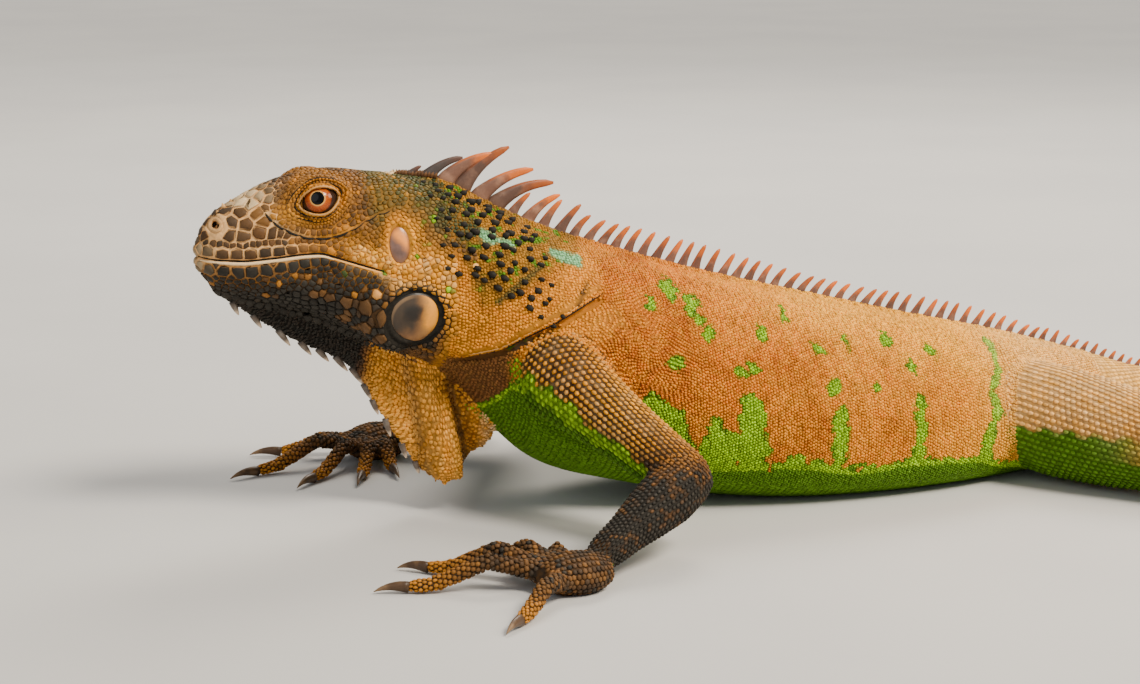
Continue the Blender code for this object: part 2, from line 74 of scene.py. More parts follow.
# Sections of the body: distance from the snout, height of the top, of the bottom and of the
# widest place, half the width there, and the powers of the curves above and below it.
BODY_SECTIONS = (
    (0, 108.5, 99, 103.5, 3.0, 2.1, 2.1),
    (2, 113, 95.5, 104, 6.0, 2.2, 2.2),
    (6, 118, 92, 104, 9.0, 2.4, 2.2),
    (15, 123.8, 88, 102, 12.0, 2.5, 2.1),
    (30, 130.8, 83.5, 99, 16.0, 2.4, 2.0),
    (48, 134.5, 77, 94, 20.0, 2.3, 2.0),
    (66, 132.5, 68, 88, 25.5, 2.2, 2.1),
    (80, 131, 62, 87, 28.0, 2.1, 2.1),
    (96, 127, 52, 87, 28.0, 1.9, 2.1),
    (112, 118.5, 33, 79, 32.0, 1.8, 2.1),
    (130, 109.5, 17, 65, 38.5, 1.8, 2.2),
    (158, 99.5, 8, 51, 45.0, 1.8, 2.3),
    (200, 87, 0, 39, 51.0, 1.8, 2.5),
    (240, 77, -2.5, 32, 53.5, 1.8, 2.8),
    (290, 65, -2.5, 27, 48.0, 1.8, 2.8),
    (330, 56, -2, 25, 36.0, 1.8, 2.5),
    (368, 45.5, 0.5, 23.5, 22.0, 1.9, 2.1),
    (400, 36, -0.6, 18, 16.5, 1.9, 2.0),
    (450, 30.5, -0.6, 15, 13.8, 1.9, 2.0),
    (550, 24, -0.6, 11.5, 10.8, 1.9, 2.0),
    (700, 18, -0.6, 8.5, 8.2, 2.0, 2.0),
    (900, 11.5, -0.5, 5.3, 5.3, 2.0, 2.0),
    (1100, 7.0, -0.4, 3.2, 3.3, 2.0, 2.0),
    (1250, 3.4, -0.4, 1.5, 1.7, 2.0, 2.0),
)
BODY_END = 1250.0
TAIL_START, TAIL_SWING, TAIL_WAVES = 372.0, math.radians(26), 0.95
TAIL_REACH = 45.0  # how far from the middle plane the tail's own shape can be, before it bends

EYE = np.array((44.5, 13.0, 123.5))
EYEBALL_RADIUS = 6.9
EYE_OPENING = np.array((43.5, 124.5))  # its centre in side view
EYE_OPENING_RADII = np.array((7.4, 4.9))
EYE_TILT, EYE_CORNER = math.radians(17), 1.62  # its hind corner is the higher one
LID_REACH = 1.9  # how many times wider than the opening the lids reach
ORBIT_RADII = (12.5, 7.2, 10.5)
NOSTRIL = np.array((6.4, 4.8, 115.6))
EAR, EAR_RADII = np.array((72.0, 24.0, 107.5)), np.array((3.8, 6.6))
JOWL, JOWL_RADIUS = np.array((77.0, 27.0, 79.5)), 10.5
CHEEK, CHEEK_RADII = np.array((72.0, 19.0, 85.5)), (17.0, 9.0, 19.0)
MOUTH = ((0, 103.2), (7.4, 102.5), (16, 102), (27, 103.1), (37, 104.4), (44, 104.7), (51, 102.4))
MOUTH += ((61, 99.3), (66, 97.8), (70, 97))
# The fold of loose hide that runs from the shoulder down to the throat, in side view.
NECK_FOLD = ((95.7, 63), (109, 66.6), (119, 72.6), (130.5, 78), (143.6, 84), (149, 86))

# Crest: distance from the snout, length, and the angles above level at the root and the tip.
NAPE_SPINES = (
    (82, 6, 50, 20),
    (88.5, 17, 48, 5),
    (95.5, 25, 50, 0),
    (102, 26, 58, 20),
    (108.5, 26, 46, 4),
    (114.8, 27, 42, -4),
    (122, 12, 60, 35),
    (128, 18, 58, 15),
    (134.5, 14, 66, 40),
    (141, 15, 62, 38),
)
# How light and how grey each of them is.
NAPE_LOOKS = ((0.3, 0.85), (0.4, 0.9), (1.0, 0.1), (0.2, 0.35), (0.9, 0.1), (0.2, 0.3), (0.6, 0.2))
NAPE_LOOKS += ((1.0, 0.0), (0.9, 0.1), (0.4, 0.3))
BACK_SPINE_START, BACK_SPINE_STEP = 147.0, 5.6
BACK_SPINE_LENGTHS = ((147, 14), (190, 12), (268, 10.5), (330, 8.5), (370, 6), (400, 4.2), (460, 3))

# Dewlap: where it hangs from and its free edge, chin to chest, and its pleats: place along
# it, half width along it, and how far the pleat stands out to the left.
DEWLAP_ROOT = ((6, 95), (30, 88), (58, 78), (80, 72), (96, 66), (112, 58))
DEWLAP_EDGE = ((5, 89), (36, 69), (58, 57), (69.5, 38), (87, 13), (100, 12.5), (112, 27), (117, 45))
DEWLAP_PLEATS = ((0.66, 0.062, 13), (0.88, 0.075, 8), (0.775, 0.034, -4))
# The darkness where the pleats meet is painted shade in the creases.
DEWLAP_CREASE_SHADES = ((0.57, 0.35), (0.755, 0.6))  # where the pleats meet, and how dark it is there
DEWLAP_HALF = 1.35  # half its thickness
# The cones along its front: place along it and length.
GULAR_SPINES = ((0.04, 3.2), (0.075, 3.6), (0.12, 5.2), (0.165, 4.2), (0.205, 4), (0.25, 5), (0.30, 5.6))
GULAR_SPINES += ((0.355, 4.6), (0.40, 4), (0.45, 5), (0.50, 4), (0.54, 3))

# Limbs: the ends of each length as (s, out from the middle plane, z), and its radii along the
# limb's flat and across it, root to end.
LIMBS = {
    "upper_arm_left": ((128, 34, 58), (161, 91, 27)),
    "forearm_left": ((161, 91, 27), (121, 117, 10)),
    "upper_arm_right": ((128, 34, 58), (149, 84, 33)),
    "forearm_right": ((149, 84, 33), (104, 89, 11)),
    "thigh_left": ((332, 18, 26), (381, 91, 17)),
    "shin_left": ((381, 91, 17), (440, 86, 11)),
    "thigh_right": ((332, 14, 28), (356, 88, 26)),
    "shin_right": ((356, 88, 26), (409, 100, 11)),
}
LIMB_RADII = {
    "upper_arm": ((15, 17), (13.5, 15), (12, 12.5), (11.5, 11), (10.5, 10)),
    "forearm": ((10, 10), (11.5, 10.5), (10, 9), (8, 7.2), (7.5, 6)),
    "thigh": ((23, 22), (23, 22.5), (21.5, 20.5), (18, 17.5), (14.5, 14)),
    "shin": ((12, 12), (13.5, 12.5), (11.5, 10.5), (9, 8.5), (8, 7.5)),
}
HIND_DIGITS = ((-42, 19, 6), (-22, 30, 7), (-6, 42, 8), (8, 58, 8), (40, 33, 7))
# Feet: the palm's centre, half sizes and heading, then each digit's heading, length and
# knuckle height, and the length of its claws.
FEET = {
    "hand_left": (
        (107, 125, 6.0), (15, 13, 7.5), 10,
        ((-100, 22, 9), (-75, 34, 11), (-49, 44, 12), (-23, 46, 11), (40, 36, 8)), 11,
    ),
    "hand_right": (
        (90, 90, 6.5), (15, 12.5, 8), -22,
        ((-66, 20, 8), (-46, 31, 9), (-25, 41, 10), (2, 47, 11), (38, 29, 8)), 12,
    ),
    "foot_left": ((436, 104, 6.5), (17, 13, 8), 66, HIND_DIGITS, 11),
    "foot_right": ((401, 117, 6.5), (17, 13, 8), 52, HIND_DIGITS, 11),
}
DIGIT_RADIUS, DIGIT_TIP_RADIUS, CLAW_RADIUS = 3.6, 2.5, 2.1
ROUND_END, ROUND_END_WIDTH = 0.7, 0.62  # how far a rounded end stands out and how wide it is there
FLOOR_GAP = 0.02  # what lies on the floor is kept this far above it

# ---------------------------------------------------------------- curves and surfaces


def smooth_row(table, at):
    """The row of numbers at a place in a table, on a smooth curve through the table's rows."""
    last = len(table) - 1
    i = next((k for k in range(last) if at <= table[k + 1][0]), last - 1)

    def slope(k, column):
        before, after = table[max(k - 1, 0)], table[min(k + 1, last)]
        return (after[column] - before[column]) / (after[0] - before[0])

    low, high = table[i], table[i + 1]
    span = high[0] - low[0]
    t = min(max((at - low[0]) / span, 0.0), 1.0)
    rising, falling = (1 + 2 * t) * (1 - t) ** 2, t * t * (3 - 2 * t)
    leaving, arriving = t * (1 - t) ** 2 * span, t * t * (t - 1) * span
    return [
        rising * low[c] + falling * high[c] + leaving * slope(i, c) + arriving * slope(i + 1, c)
        for c in range(1, len(low))
    ]


def side_of(name):
    """-1 for a part of the animal's left side, 1 for one of its right."""
    return SIDES[name.rsplit("_", 1)[1]]


def unit(vectors):
    return vectors / np.maximum(np.linalg.norm(vectors, axis=-1, keepdims=True), 1e-9)


def ramp(low, high, values):
    """0 at low, 1 at high and smooth in between; low may be the greater."""
    t = np.clip((values - low) / (high - low), 0, 1)
    return t * t * (3 - 2 * t)


def bump(values, centre, width):
    """A soft bell, 1 at the centre."""
    return np.exp(-(((values - centre) / width) ** 2))


def line_height(table, s):
    """How high a line in side view runs at each distance from the snout."""
    return np.interp(s, [p[0] for p in table], [p[1] for p in table])


STEPS = np.arange(0.0, BODY_END + 1)
BODY = np.array([smooth_row(BODY_SECTIONS, s) for s in STEPS])
HEADINGS = np.where(
    STEPS > TAIL_START,
    TAIL_SWING * np.sin(2 * math.pi * TAIL_WAVES * (STEPS - TAIL_START) / (BODY_END - TAIL_START)),
    0.0,
)
SPINE_S = np.r_[0, np.cumsum(np.cos((HEADINGS[1:] + HEADINGS[:-1]) / 2))]
SPINE_Y = np.r_[0, np.cumsum(np.sin((HEADINGS[1:] + HEADINGS[:-1]) / 2))]


def body_row(s):
    """Top, bottom, widest height, half width and the two powers at each distance."""
    return [np.interp(s, STEPS, BODY[:, c]) for c in range(6)]


def power_curve(value, power):
    return np.sign(value) * np.abs(value) ** (2 / power)


def body_at(s, turn, inset=0.0):
    """Points of the body before its tail bends; turn is 0 on the back, 0.25 on the left side."""
    top, bottom, widest, half, over, under = body_row(s)
    angle = 2 * math.pi * turn
    above = np.cos(angle) >= 0
    power = np.where(above, over, under)
    reach = np.where(above, top - widest, widest - bottom) - inset
    out = (half - inset) * power_curve(np.sin(angle), power)
    return np.stack([s, -out, widest + reach * power_curve(np.cos(angle), power)], axis=-1)


def bend_tail(points):
    """Lays the tail, straight so far, along its slow S."""
    s, y = points[:, 0], points[:, 1]
    on_tail = (s > TAIL_START) & (np.abs(y) < TAIL_REACH)
    heading = np.interp(s, STEPS, HEADINGS)
    bent = points.copy()
    bent[:, 0] = np.where(on_tail, np.interp(s, STEPS, SPINE_S) - y * np.sin(heading), s)
    bent[:, 1] = np.where(on_tail, np.interp(s, STEPS, SPINE_Y) + y * np.cos(heading), y)
    return bent


def body_surface(s, turn):
    """Points of the finished body, the way out of it and the way towards the tail."""
    ahead = bend_tail(body_at(s + 0.5, turn))
    round_left = bend_tail(body_at(s, turn + 0.003))
    place = bend_tail(body_at(s, turn))
    along = unit(ahead - place)
    return place, unit(np.cross(round_left - place, along)), along


def tube(path, radii, rounded=(True, True)):
    """A path with radii, given rounded ends: what tube_at() reads."""
    path = [np.array(p, float) for p in path]
    radii = [np.array(r if hasattr(r, "__len__") else (r, r), float) for r in radii]
    if rounded[0]:
        back = unit(path[1] - path[0])
        path.insert(0, path[0] - back * radii[0][0] * ROUND_END)
        radii.insert(0, radii[0] * ROUND_END_WIDTH)
    if rounded[1]:
        ahead = unit(path[-1] - path[-2])
        path.append(path[-1] + ahead * radii[-1][0] * ROUND_END)
        radii.append(radii[-1] * ROUND_END_WIDTH)
    return np.array(path), np.array(radii)


def tube_at(shape, along, turn, up=UP):
    """Points of a tube, the way out of it and the way along it. along runs from 0 to 1."""
    path, radii = shape
    lengths = np.r_[0, np.cumsum(np.linalg.norm(np.diff(path, axis=0), axis=1))]
    place = along * lengths[-1]
    tangents = unit(np.gradient(path, lengths, axis=0))
    centre = np.stack([np.interp(place, lengths, path[:, c]) for c in range(3)], axis=-1)
    ahead = unit(np.stack([np.interp(place, lengths, tangents[:, c]) for c in range(3)], axis=-1))
    flat, across = (np.interp(place, lengths, radii[:, c])[:, None] for c in range(2))
    side = unit(np.cross(ahead, up))
    rise = np.cross(side, ahead)
    c, s = np.cos(2 * math.pi * turn)[:, None], np.sin(2 * math.pi * turn)[:, None]
    out = unit(side * c / flat + rise * s / across)
    return centre + side * c * flat + rise * s * across, out, ahead


def limb_shape(name):
    """One length of a limb, as tube_at() reads it."""
    start, end = np.array(LIMBS[name], float) * (1, side_of(name), 1)
    radii = LIMB_RADII[name.rsplit("_", 1)[0]]
    path = [start + (end - start) * i / (len(radii) - 1) for i in range(len(radii))]
    return tube(path, radii)


def palm_place(foot_name, heading=0):
    """The middle of a palm, and the way that a heading off the foot's own points."""
    turn, side = math.radians(FEET[foot_name][2] + heading), side_of(foot_name)
    ahead = np.array((-math.cos(turn), side * math.sin(turn), 0))
    return np.array(FEET[foot_name][0]) * (1, side, 1.0), ahead


def digit_shape(foot_name, digit):
    """One digit from inside the palm to the root of its claw, and the way that it points."""
    _, palm_radii, _, digits, _ = FEET[foot_name]
    heading, length, knuckle = digits[digit]
    palm, ahead = palm_place(foot_name, heading)
    reach, low = palm_radii[1] * 0.8, DIGIT_TIP_RADIUS * 0.95
    points = [palm + ahead * reach * 0.35]
    for share, height in ((0.0, palm[2]), (0.42, knuckle), (0.8, low * 1.5), (1.0, low)):
        point = palm + ahead * (reach + length * share)
        point[2] = max(height, low)
        points.append(point)
    thick = np.linspace(DIGIT_RADIUS, DIGIT_TIP_RADIUS, len(points))
    return tube(points, thick, (False, True)), ahead


def claw_shape(foot_name, digit):
    """One claw, curving from the tip of its digit down to the floor."""
    (path, _), ahead = digit_shape(foot_name, digit)
    length = FEET[foot_name][4]
    root = path[-2] + unit(path[-1] - path[-2]) * DIGIT_TIP_RADIUS * 0.35
    mid = root + ahead * length * 0.62 + UP * 0.13 * length
    end = root + ahead * (length + 1.2)
    end[2] = CLAW_RADIUS * 0.45
    share = np.linspace(0, 1, 9)[:, None]
    curve = root * (1 - share) ** 2 + mid * 2 * share * (1 - share) + end * share**2
    radii = [(CLAW_RADIUS * 0.8 * w, CLAW_RADIUS * w) for w in (1 - share[:, 0] ** 1.4 * 0.93)]
    return tube(curve, radii, (False, False))


def dewlap_at(along, down):
    """Points of the dewlap's middle surface: along from chin to chest, down from the throat."""
    places = np.linspace(0, 1, 201)
    lines = []
    for table in (DEWLAP_ROOT, DEWLAP_EDGE):
        rows = [(i, *place) for i, place in enumerate(table)]
        line = np.array([smooth_row(rows, t * (len(table) - 1)) for t in places])
        lines.append(np.stack([np.interp(along, places, line[:, c]) for c in range(2)], axis=-1))
    roots, edges = lines
    out = np.zeros_like(along)
    for place, half_width, depth in DEWLAP_PLEATS:
        out -= depth * np.exp(-(((along - place) / half_width) ** 4)) * np.maximum(down, 0) ** 0.6
    hung = roots + (edges - roots) * down[:, None]
    return np.stack([hung[:, 0], out, hung[:, 1]], axis=-1)


def crest_spines():
    """(distance from the snout, length, root angle, tip angle) of every spine of the crest."""
    spines, place = list(NAPE_SPINES), BACK_SPINE_START
    while place < BACK_SPINE_LENGTHS[-1][0]:
        length = smooth_row(BACK_SPINE_LENGTHS, place)[0]
        sway = math.sin(place * 0.9), math.sin(place * 2.3)
        spines.append((place, length * (0.93 + 0.07 * sway[1]), 70 + 7 * sway[0], 40 + 13 * sway[1]))
        place += BACK_SPINE_STEP * (0.55 + 0.45 * min(1, length / 10))
    return spines


def mottle(points, size, seed):
    """Smooth random values from 0 to 1 over space, in blotches of about the size given."""
    cells = points / size + seed * 17.31
    low = np.floor(cells)
    share = cells - low
    share = share * share * (3 - 2 * share)
    total = np.zeros(len(points))
    for corner in np.ndindex(2, 2, 2):
        weight = np.prod(np.where(np.array(corner) == 1, share, 1 - share), axis=1)
        chance = np.sin((low + corner) @ np.array((127.1, 311.7, 74.7)) + seed) * 43758.5453
        total += weight * (chance - np.floor(chance))
    return total


# ---------------------------------------------------------------- meshes


def add_rolled(mesh, columns, sides, shape):
    """Adds a closed tube: a grid rolled up by shape(along, turn), its seam and ends closed."""
    verts = bmesh.ops.create_grid(mesh, x_segments=columns, y_segments=sides, size=1)["verts"]
    flat = (np.array([v.co[:2] for v in verts]) + 1) / 2
    for vert, place in zip(verts, shape(flat[:, 0], flat[:, 1])):
        vert.co = place
    bmesh.ops.remove_doubles(mesh, verts=verts, dist=0.01)
    verts = [v for v in verts if v.is_valid]
    rims = {e for v in verts for e in v.link_edges if e.is_boundary}
    bmesh.ops.edgeloop_fill(mesh, edges=list(rims))
    faces = {f for v in verts for f in v.link_faces}
    bmesh.ops.recalc_face_normals(mesh, faces=list(faces))
    return verts


def add_tube(mesh, columns, sides, shape):
    """Adds a closed tube along a path with radii."""
    return add_rolled(mesh, columns, sides, lambda along, turn: tube_at(shape, along, turn)[0])


def add_ball(mesh, centre, radii, turn=0.0):
    """Adds an ellipsoid, turned about the upright axis."""
    verts = bmesh.ops.create_uvsphere(mesh, u_segments=28, v_segments=16, radius=1)["verts"]
    bmesh.ops.scale(mesh, vec=radii, verts=verts)
    bmesh.ops.rotate(mesh, matrix=Matrix.Rotation(turn, 3, "Z"), verts=verts)
    bmesh.ops.translate(mesh, vec=centre, verts=verts)
    return verts


def points_of(mesh):
    values = np.empty(len(mesh.vertices) * 3, np.float32)
    mesh.vertices.foreach_get("co", values)
    return values.reshape(-1, 3).astype(float)


def ways_of(mesh):
    """The way out of a mesh at each of its points."""
    values = np.empty(len(mesh.vertices) * 3, np.float32)
    mesh.vertex_normals.foreach_get("vector", values)
    return values.reshape(-1, 3).astype(float)


def set_points(mesh, points):
    mesh.vertices.foreach_set("co", points.astype(np.float32).ravel())
    mesh.update()


def set_marks(mesh, name, values):
    layer = mesh.attributes.new(name, "FLOAT_COLOR", "POINT")
    layer.data.foreach_set("color", values.astype(np.float32).ravel())


def set_unwrap(mesh, places):
    """Gives a mesh an unwrap named OFBake, from a place for each point."""
    loops = np.empty(len(mesh.loops), np.int32)
    mesh.loops.foreach_get("vertex_index", loops)
    layer = mesh.uv_layers.new(name="OFBake")
    layer.data.foreach_set("uv", places[loops].astype(np.float32).ravel())


def add_object(name, data):
    made = bpy.data.objects.new(name, data)
    bpy.context.scene.collection.objects.link(made)
    return made


def mesh_from(bm, name):
    data = bpy.data.meshes.new(name)
    bm.to_mesh(data)
    bm.free()
    return data


def finish_piece(data, material, replaced=()):
    """Turns a mesh in the animal's millimetres into a piece of the model, in the frame."""
    points = points_of(data) * MM
    points[:, 0] += SNOUT_X
    set_points(data, points)
    data.polygons.foreach_set("use_smooth", np.ones(len(data.polygons), bool))
    piece = add_object(data.name, data)
    data.materials.clear()
    data.materials.append(material)
    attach(piece, "root")
    if replaced:
        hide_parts(*replaced)
    return piece


class Shape:
    """A small closed scale shape: x along its lie, y across it, z out of the hide, about 1 big."""

    def __init__(self, bm):
        bmesh.ops.recalc_face_normals(bm, faces=bm.faces)
        self.points = np.array([v.co for v in bm.verts])
        self.faces = [[v.index for v in f.verts] for f in bm.faces]
        bm.free()


def six_sided(shoulder, peaked=True):
    """A short six-sided block, narrower at its top, and the point in the middle of the top."""
    bm = bmesh.new()
    bmesh.ops.create_cone(bm, cap_ends=True, segments=6, radius1=0.5, radius2=0.5 * shoulder, depth=1)
    top = [f for f in bm.faces if f.calc_center_median().z > 0.4]
    return bm, bmesh.ops.poke(bm, faces=top)["verts"] if peaked else []


def bead_shape(shoulder, crown=0.0, lean=0.0):
    """A domed scale: its foot sinks in the hide, its crown may lean back over the next scale."""
    bm, centre = six_sided(shoulder, crown > 0)
    bmesh.ops.translate(bm, vec=(0, 0, crown), verts=centre)
    for vert in bm.verts:
        vert.co.z = -0.3 if vert.co.z < 0 else vert.co.z + 0.5 - crown
        if vert.co.z > 0:
            vert.co.x += lean
            vert.co.z *= 1 + 0.9 * lean * vert.co.x
    return Shape(bm)


def keel_shape():
    """A pointed scale with a ridge that rises towards its tip."""
    bm, centre = six_sided(0.68)
    for vert in bm.verts:
        high = vert.co.z > 0
        vert.co.z = 0.55 if high else -0.3
        vert.co.z += 0.5 * vert.co.x * high
        vert.co.x += 0.12 * high
    for vert in centre:
        vert.co = (0.2, 0, 1.0)
    return Shape(bm)


def cone_shape():
    """A conical tubercle, its point leaning back."""
    bm, centre = six_sided(0.72)
    for vert in bm.verts:
        high = vert.co.z > 0
        vert.co.z = 0.5 if high else -0.2
        vert.co.x += 0.14 * high
    for vert in centre:
        vert.co = (0.30, 0, 0.95)
    return Shape(bm)


# Places on the hide for scales: place, way out, lie, size, place on the unwrap and markings.
Seats = namedtuple("Seats", "place out lie size unwrap marks extra")


def join_seats(groups):
    return Seats(*(np.concatenate(fields) for fields in zip(*groups)))


PATCH = 0.003  # how wide a scale's patch is on the unwrap


def in_margins(unwrap):
    """Places from 0 to 1 on the unwrap, drawn in a little from its edges."""
    return unwrap * 0.97 + 0.015


def stamp(name, shape, seats):
    """One joined mesh of many like scales, each at its seat."""
    count, corners = len(seats.place), len(shape.points)
    across = np.cross(seats.out, seats.lie)
    local = shape.points[None] * seats.size[:, None, :]
    points = (
        seats.place[:, None]
        + seats.lie[:, None] * local[..., 0:1]
        + across[:, None] * local[..., 1:2]
        + seats.out[:, None] * local[..., 2:3]
    ).reshape(-1, 3)
    points[:, 2] = np.maximum(points[:, 2], FLOOR_GAP)
    loops = np.array([i for face in shape.faces for i in face])
    starts = np.cumsum([0] + [len(face) for face in shape.faces])[:-1]
    data = bpy.data.meshes.new(name)
    data.vertices.add(len(points))
    data.loops.add(count * len(loops))
    data.polygons.add(count * len(starts))
    set_loops = (np.arange(count)[:, None] * corners + loops).ravel()
    data.loops.foreach_set("vertex_index", set_loops.astype(np.int32))
    set_starts = (np.arange(count)[:, None] * len(loops) + starts).ravel()
    data.polygons.foreach_set("loop_start", set_starts.astype(np.int32))
    set_points(data, points)
    data.update(calc_edges=True)
    extra = np.repeat(seats.extra, corners, axis=0)
    extra[:, 2] = np.tile(np.clip(shape.points[:, 2], 0, 1), count)
    set_marks(data, "marks", np.repeat(seats.marks, corners, axis=0))
    set_marks(data, "marks2", extra)
    patches = np.tile(shape.points[:, :2], (count, 1)) * PATCH
    set_unwrap(data, np.repeat(seats.unwrap, corners, axis=0) + patches)
    return data


def finish_scales(name, shape, seats, material="scale_material"):
    """Turns seats into a piece of the coat."""
    finish_piece(stamp(name, shape, seats), MADE[material])


def nearest_hide(point, reach=1000.0):
    """The hide's nearest place to a point and the way out of it there, or two Nones."""
    hit, _, face, _ = MADE["tree"].find_nearest(Vector(point), reach)
    if hit is None:
        return None, None
    return np.array(hit), MADE["normals"][MADE["corners"][face]].mean(axis=0)


def on_hide(points, out, lie, reach):
    """Moves points onto the hide. Gives place, way out, lie, and which were near enough to it."""
    place, ways, near = np.empty_like(points), np.empty_like(points), np.zeros(len(points), bool)
    for i, point in enumerate(points):
        hit, way = nearest_hide(point, reach)
        if hit is not None:
            place[i], ways[i], near[i] = hit, way, True
    place, ways, lie, out = place[near], unit(ways[near]), lie[near], out[near]
    facing = np.einsum("ij,ij->i", ways, out) > 0.3
    lie = lie - ways * np.einsum("ij,ij->i", lie, ways)[:, None]
    chosen = np.flatnonzero(near)[facing]
    return place[facing], ways[facing], unit(lie[facing]), chosen


# ---------------------------------------------------------------- markings

# Markings are given in side view, in millimetres: s is how far back from the snout's tip, z how
# high. ramp(a, b, s) fades one in from a to b and bump(s, a, b) centres one on a, about b wide
# each way. fine, rough and broad are random blotches of growing size.
# Lime marks of the flank, in side view: round spots (s, z, radius) and bars (from, to, half width).
LIME_SPOTS = (
    (178, 85, 3.4), (185, 79, 2.8), (187, 74, 1.9), (189, 70, 2.3), (174, 61, 2.5), (200, 55.5, 2.0),
    (204, 57.5, 2.2), (237, 48.5, 2.8), (267, 61.5, 2.3), (285, 55, 2.1), (274, 51.5, 2.1),
    (212, 68, 1.6), (235, 61, 1.9), (168, 82, 2.0), (248, 63.5, 1.6), (225, 72, 1.3), (256, 46, 1.4),
)
LIME_BARS = (
    (150, 47, 160, 41, 4.5), (164, 44, 172, 39, 4.8), (172, 38, 175, 27, 4.2),
    (190, 28, 190, 14, 6.8), (197, 27, 204, 27, 6.0), (202.5, 44, 203, 14, 4.4),
    (188, 36, 188, 20, 2.4), (219, 19, 226, 14, 3.6), (238, 38, 238, 15, 2.6),
    (228, 18, 236, 14, 2.4), (274, 41, 273, 14, 2.0), (319, 54, 315, 44, 1.8),
    (315, 44, 310, 39, 1.6), (310, 39, 311, 31, 1.9), (311, 31, 305, 17, 2.3),
    (305, 17, 311, 5, 2.6),
)
# Bars of the flank's own colour that part the lime block, as the lime bars are given.
LIME_GAPS = ((180.5, 46, 181, 24, 1.9), (181, 24, 181.5, 13, 1.5), (210.8, 40, 211, 16, 1.6))
# How high the belly's green reaches.
BELLY_LINE = ((60, 30), (98, 37), (106, 42), (113, 52), (122, 57), (131, 48), (150, 30), (183, 19))
BELLY_LINE += ((215, 20), (232, 18), (249, 15), (266, 17), (289, 16), (305, 14), (318, 9), (335, 8))
BELLY_LINE += ((372, 6), (1250, 0))
# The neck's pale green streaks, and dark lines of painted shade in the creases between them and the
# shoulder.
MINT_STREAKS = ((105, 109.6, 109, 107.4, 2.1), (108, 107.6, 117, 105, 1.0), (133, 101, 137, 99.2, 1.3))
MINT_STREAKS += ((137, 99.4, 142.5, 97.6, 2.1),)
TAIL_BAND = 46  # from one dark band of the tail to the next
NECK_CREASE_SHADES = ((108, 85, 118, 92.6, 0.8), (118, 92.6, 127, 97, 0.7), (138, 83.5, 144, 90, 0.3))


# The line that the rows of narrow cheek scales follow: the mouth's, and on towards the ear.
FAN_LINE = ((44, 104.7), (51, 102.4), (61, 99.6), (70, 98.0), (80, 96.2), (92, 93.5))
# Scales before the great round one, and the pale ovals over them: (s, z, half width) in side view.
JOWL_DARK = ((64.5, 80.5, 4.0), (58.5, 84.5, 3.1), (52.5, 86.6, 2.5), (46.5, 88.2, 2.1))
JOWL_DARK += ((41, 89.6, 1.8), (59.2, 76.5, 2.6), (64.5, 72.6, 2.4), (53, 79.8, 2.2))
JOWL_PALE = ((62.6, 89.6, 1.8), (68.8, 92.0, 1.9), (73.9, 92.7, 1.4), (78.4, 92.8, 1.4))
JOWL_PALE += ((82.7, 91.4, 1.3),)
FACE_LIME = ((78, 103, 1.0), (65.5, 97.5, 0.9), (52, 96.5, 0.9), (90, 90, 1.2), (86, 116, 1.3))


def distance_to_line(s, z, bar):
    """Distance in side view from points to the stretch between two others."""
    s1, z1, s2, z2 = bar[:4]
    long, rise = s2 - s1, z2 - z1
    share = np.clip(((s - s1) * long + (z - z1) * rise) / (long**2 + rise**2), 0, 1)
    return np.hypot(s - s1 - share * long, z - z1 - share * rise)


def ear_rings(s, z):
    """1 on the edge of the ear in side view, less inside it and more outside."""
    return np.hypot((s - EAR[0]) / EAR_RADII[0], (z - EAR[2]) / EAR_RADII[1])


def spot(s, z, mark, fade=0.6, core=0.4):
    """1 on a round mark (s, z, radius) in side view and 0 away from it."""
    return ramp(mark[2] + fade, mark[2] - core, np.hypot(s - mark[0], z - mark[1]))


class Marks(dict):
    """How strong each marking is at each point of the hide: from 0 to 1 once it is finished."""

    def blend(self, share, **values):
        """Brings the markings named to new values where share is 1."""
        for name, value in values.items():
            self[name] = self[name] * (1 - share) + share * value

    def at_least(self, **values):
        for name, value in values.items():
            self[name] = np.maximum(self[name], value)


def lime_marks(s, z, rough):
    """How lime the flank is: spots, bars and the belly, with ragged edges."""
    edge = line_height(BELLY_LINE, s) - z
    for cs, cz, radius in LIME_SPOTS:
        edge = np.maximum(edge, radius - np.hypot(s - cs, z - cz))
    for bar in LIME_BARS:
        edge = np.maximum(edge, bar[4] - distance_to_line(s, z, bar))
    for bar in LIME_GAPS:
        edge = np.minimum(edge, distance_to_line(s, z, bar) - bar[4])
    return ramp(-0.7, 0.9, edge + (rough - 0.5) * 5.4)


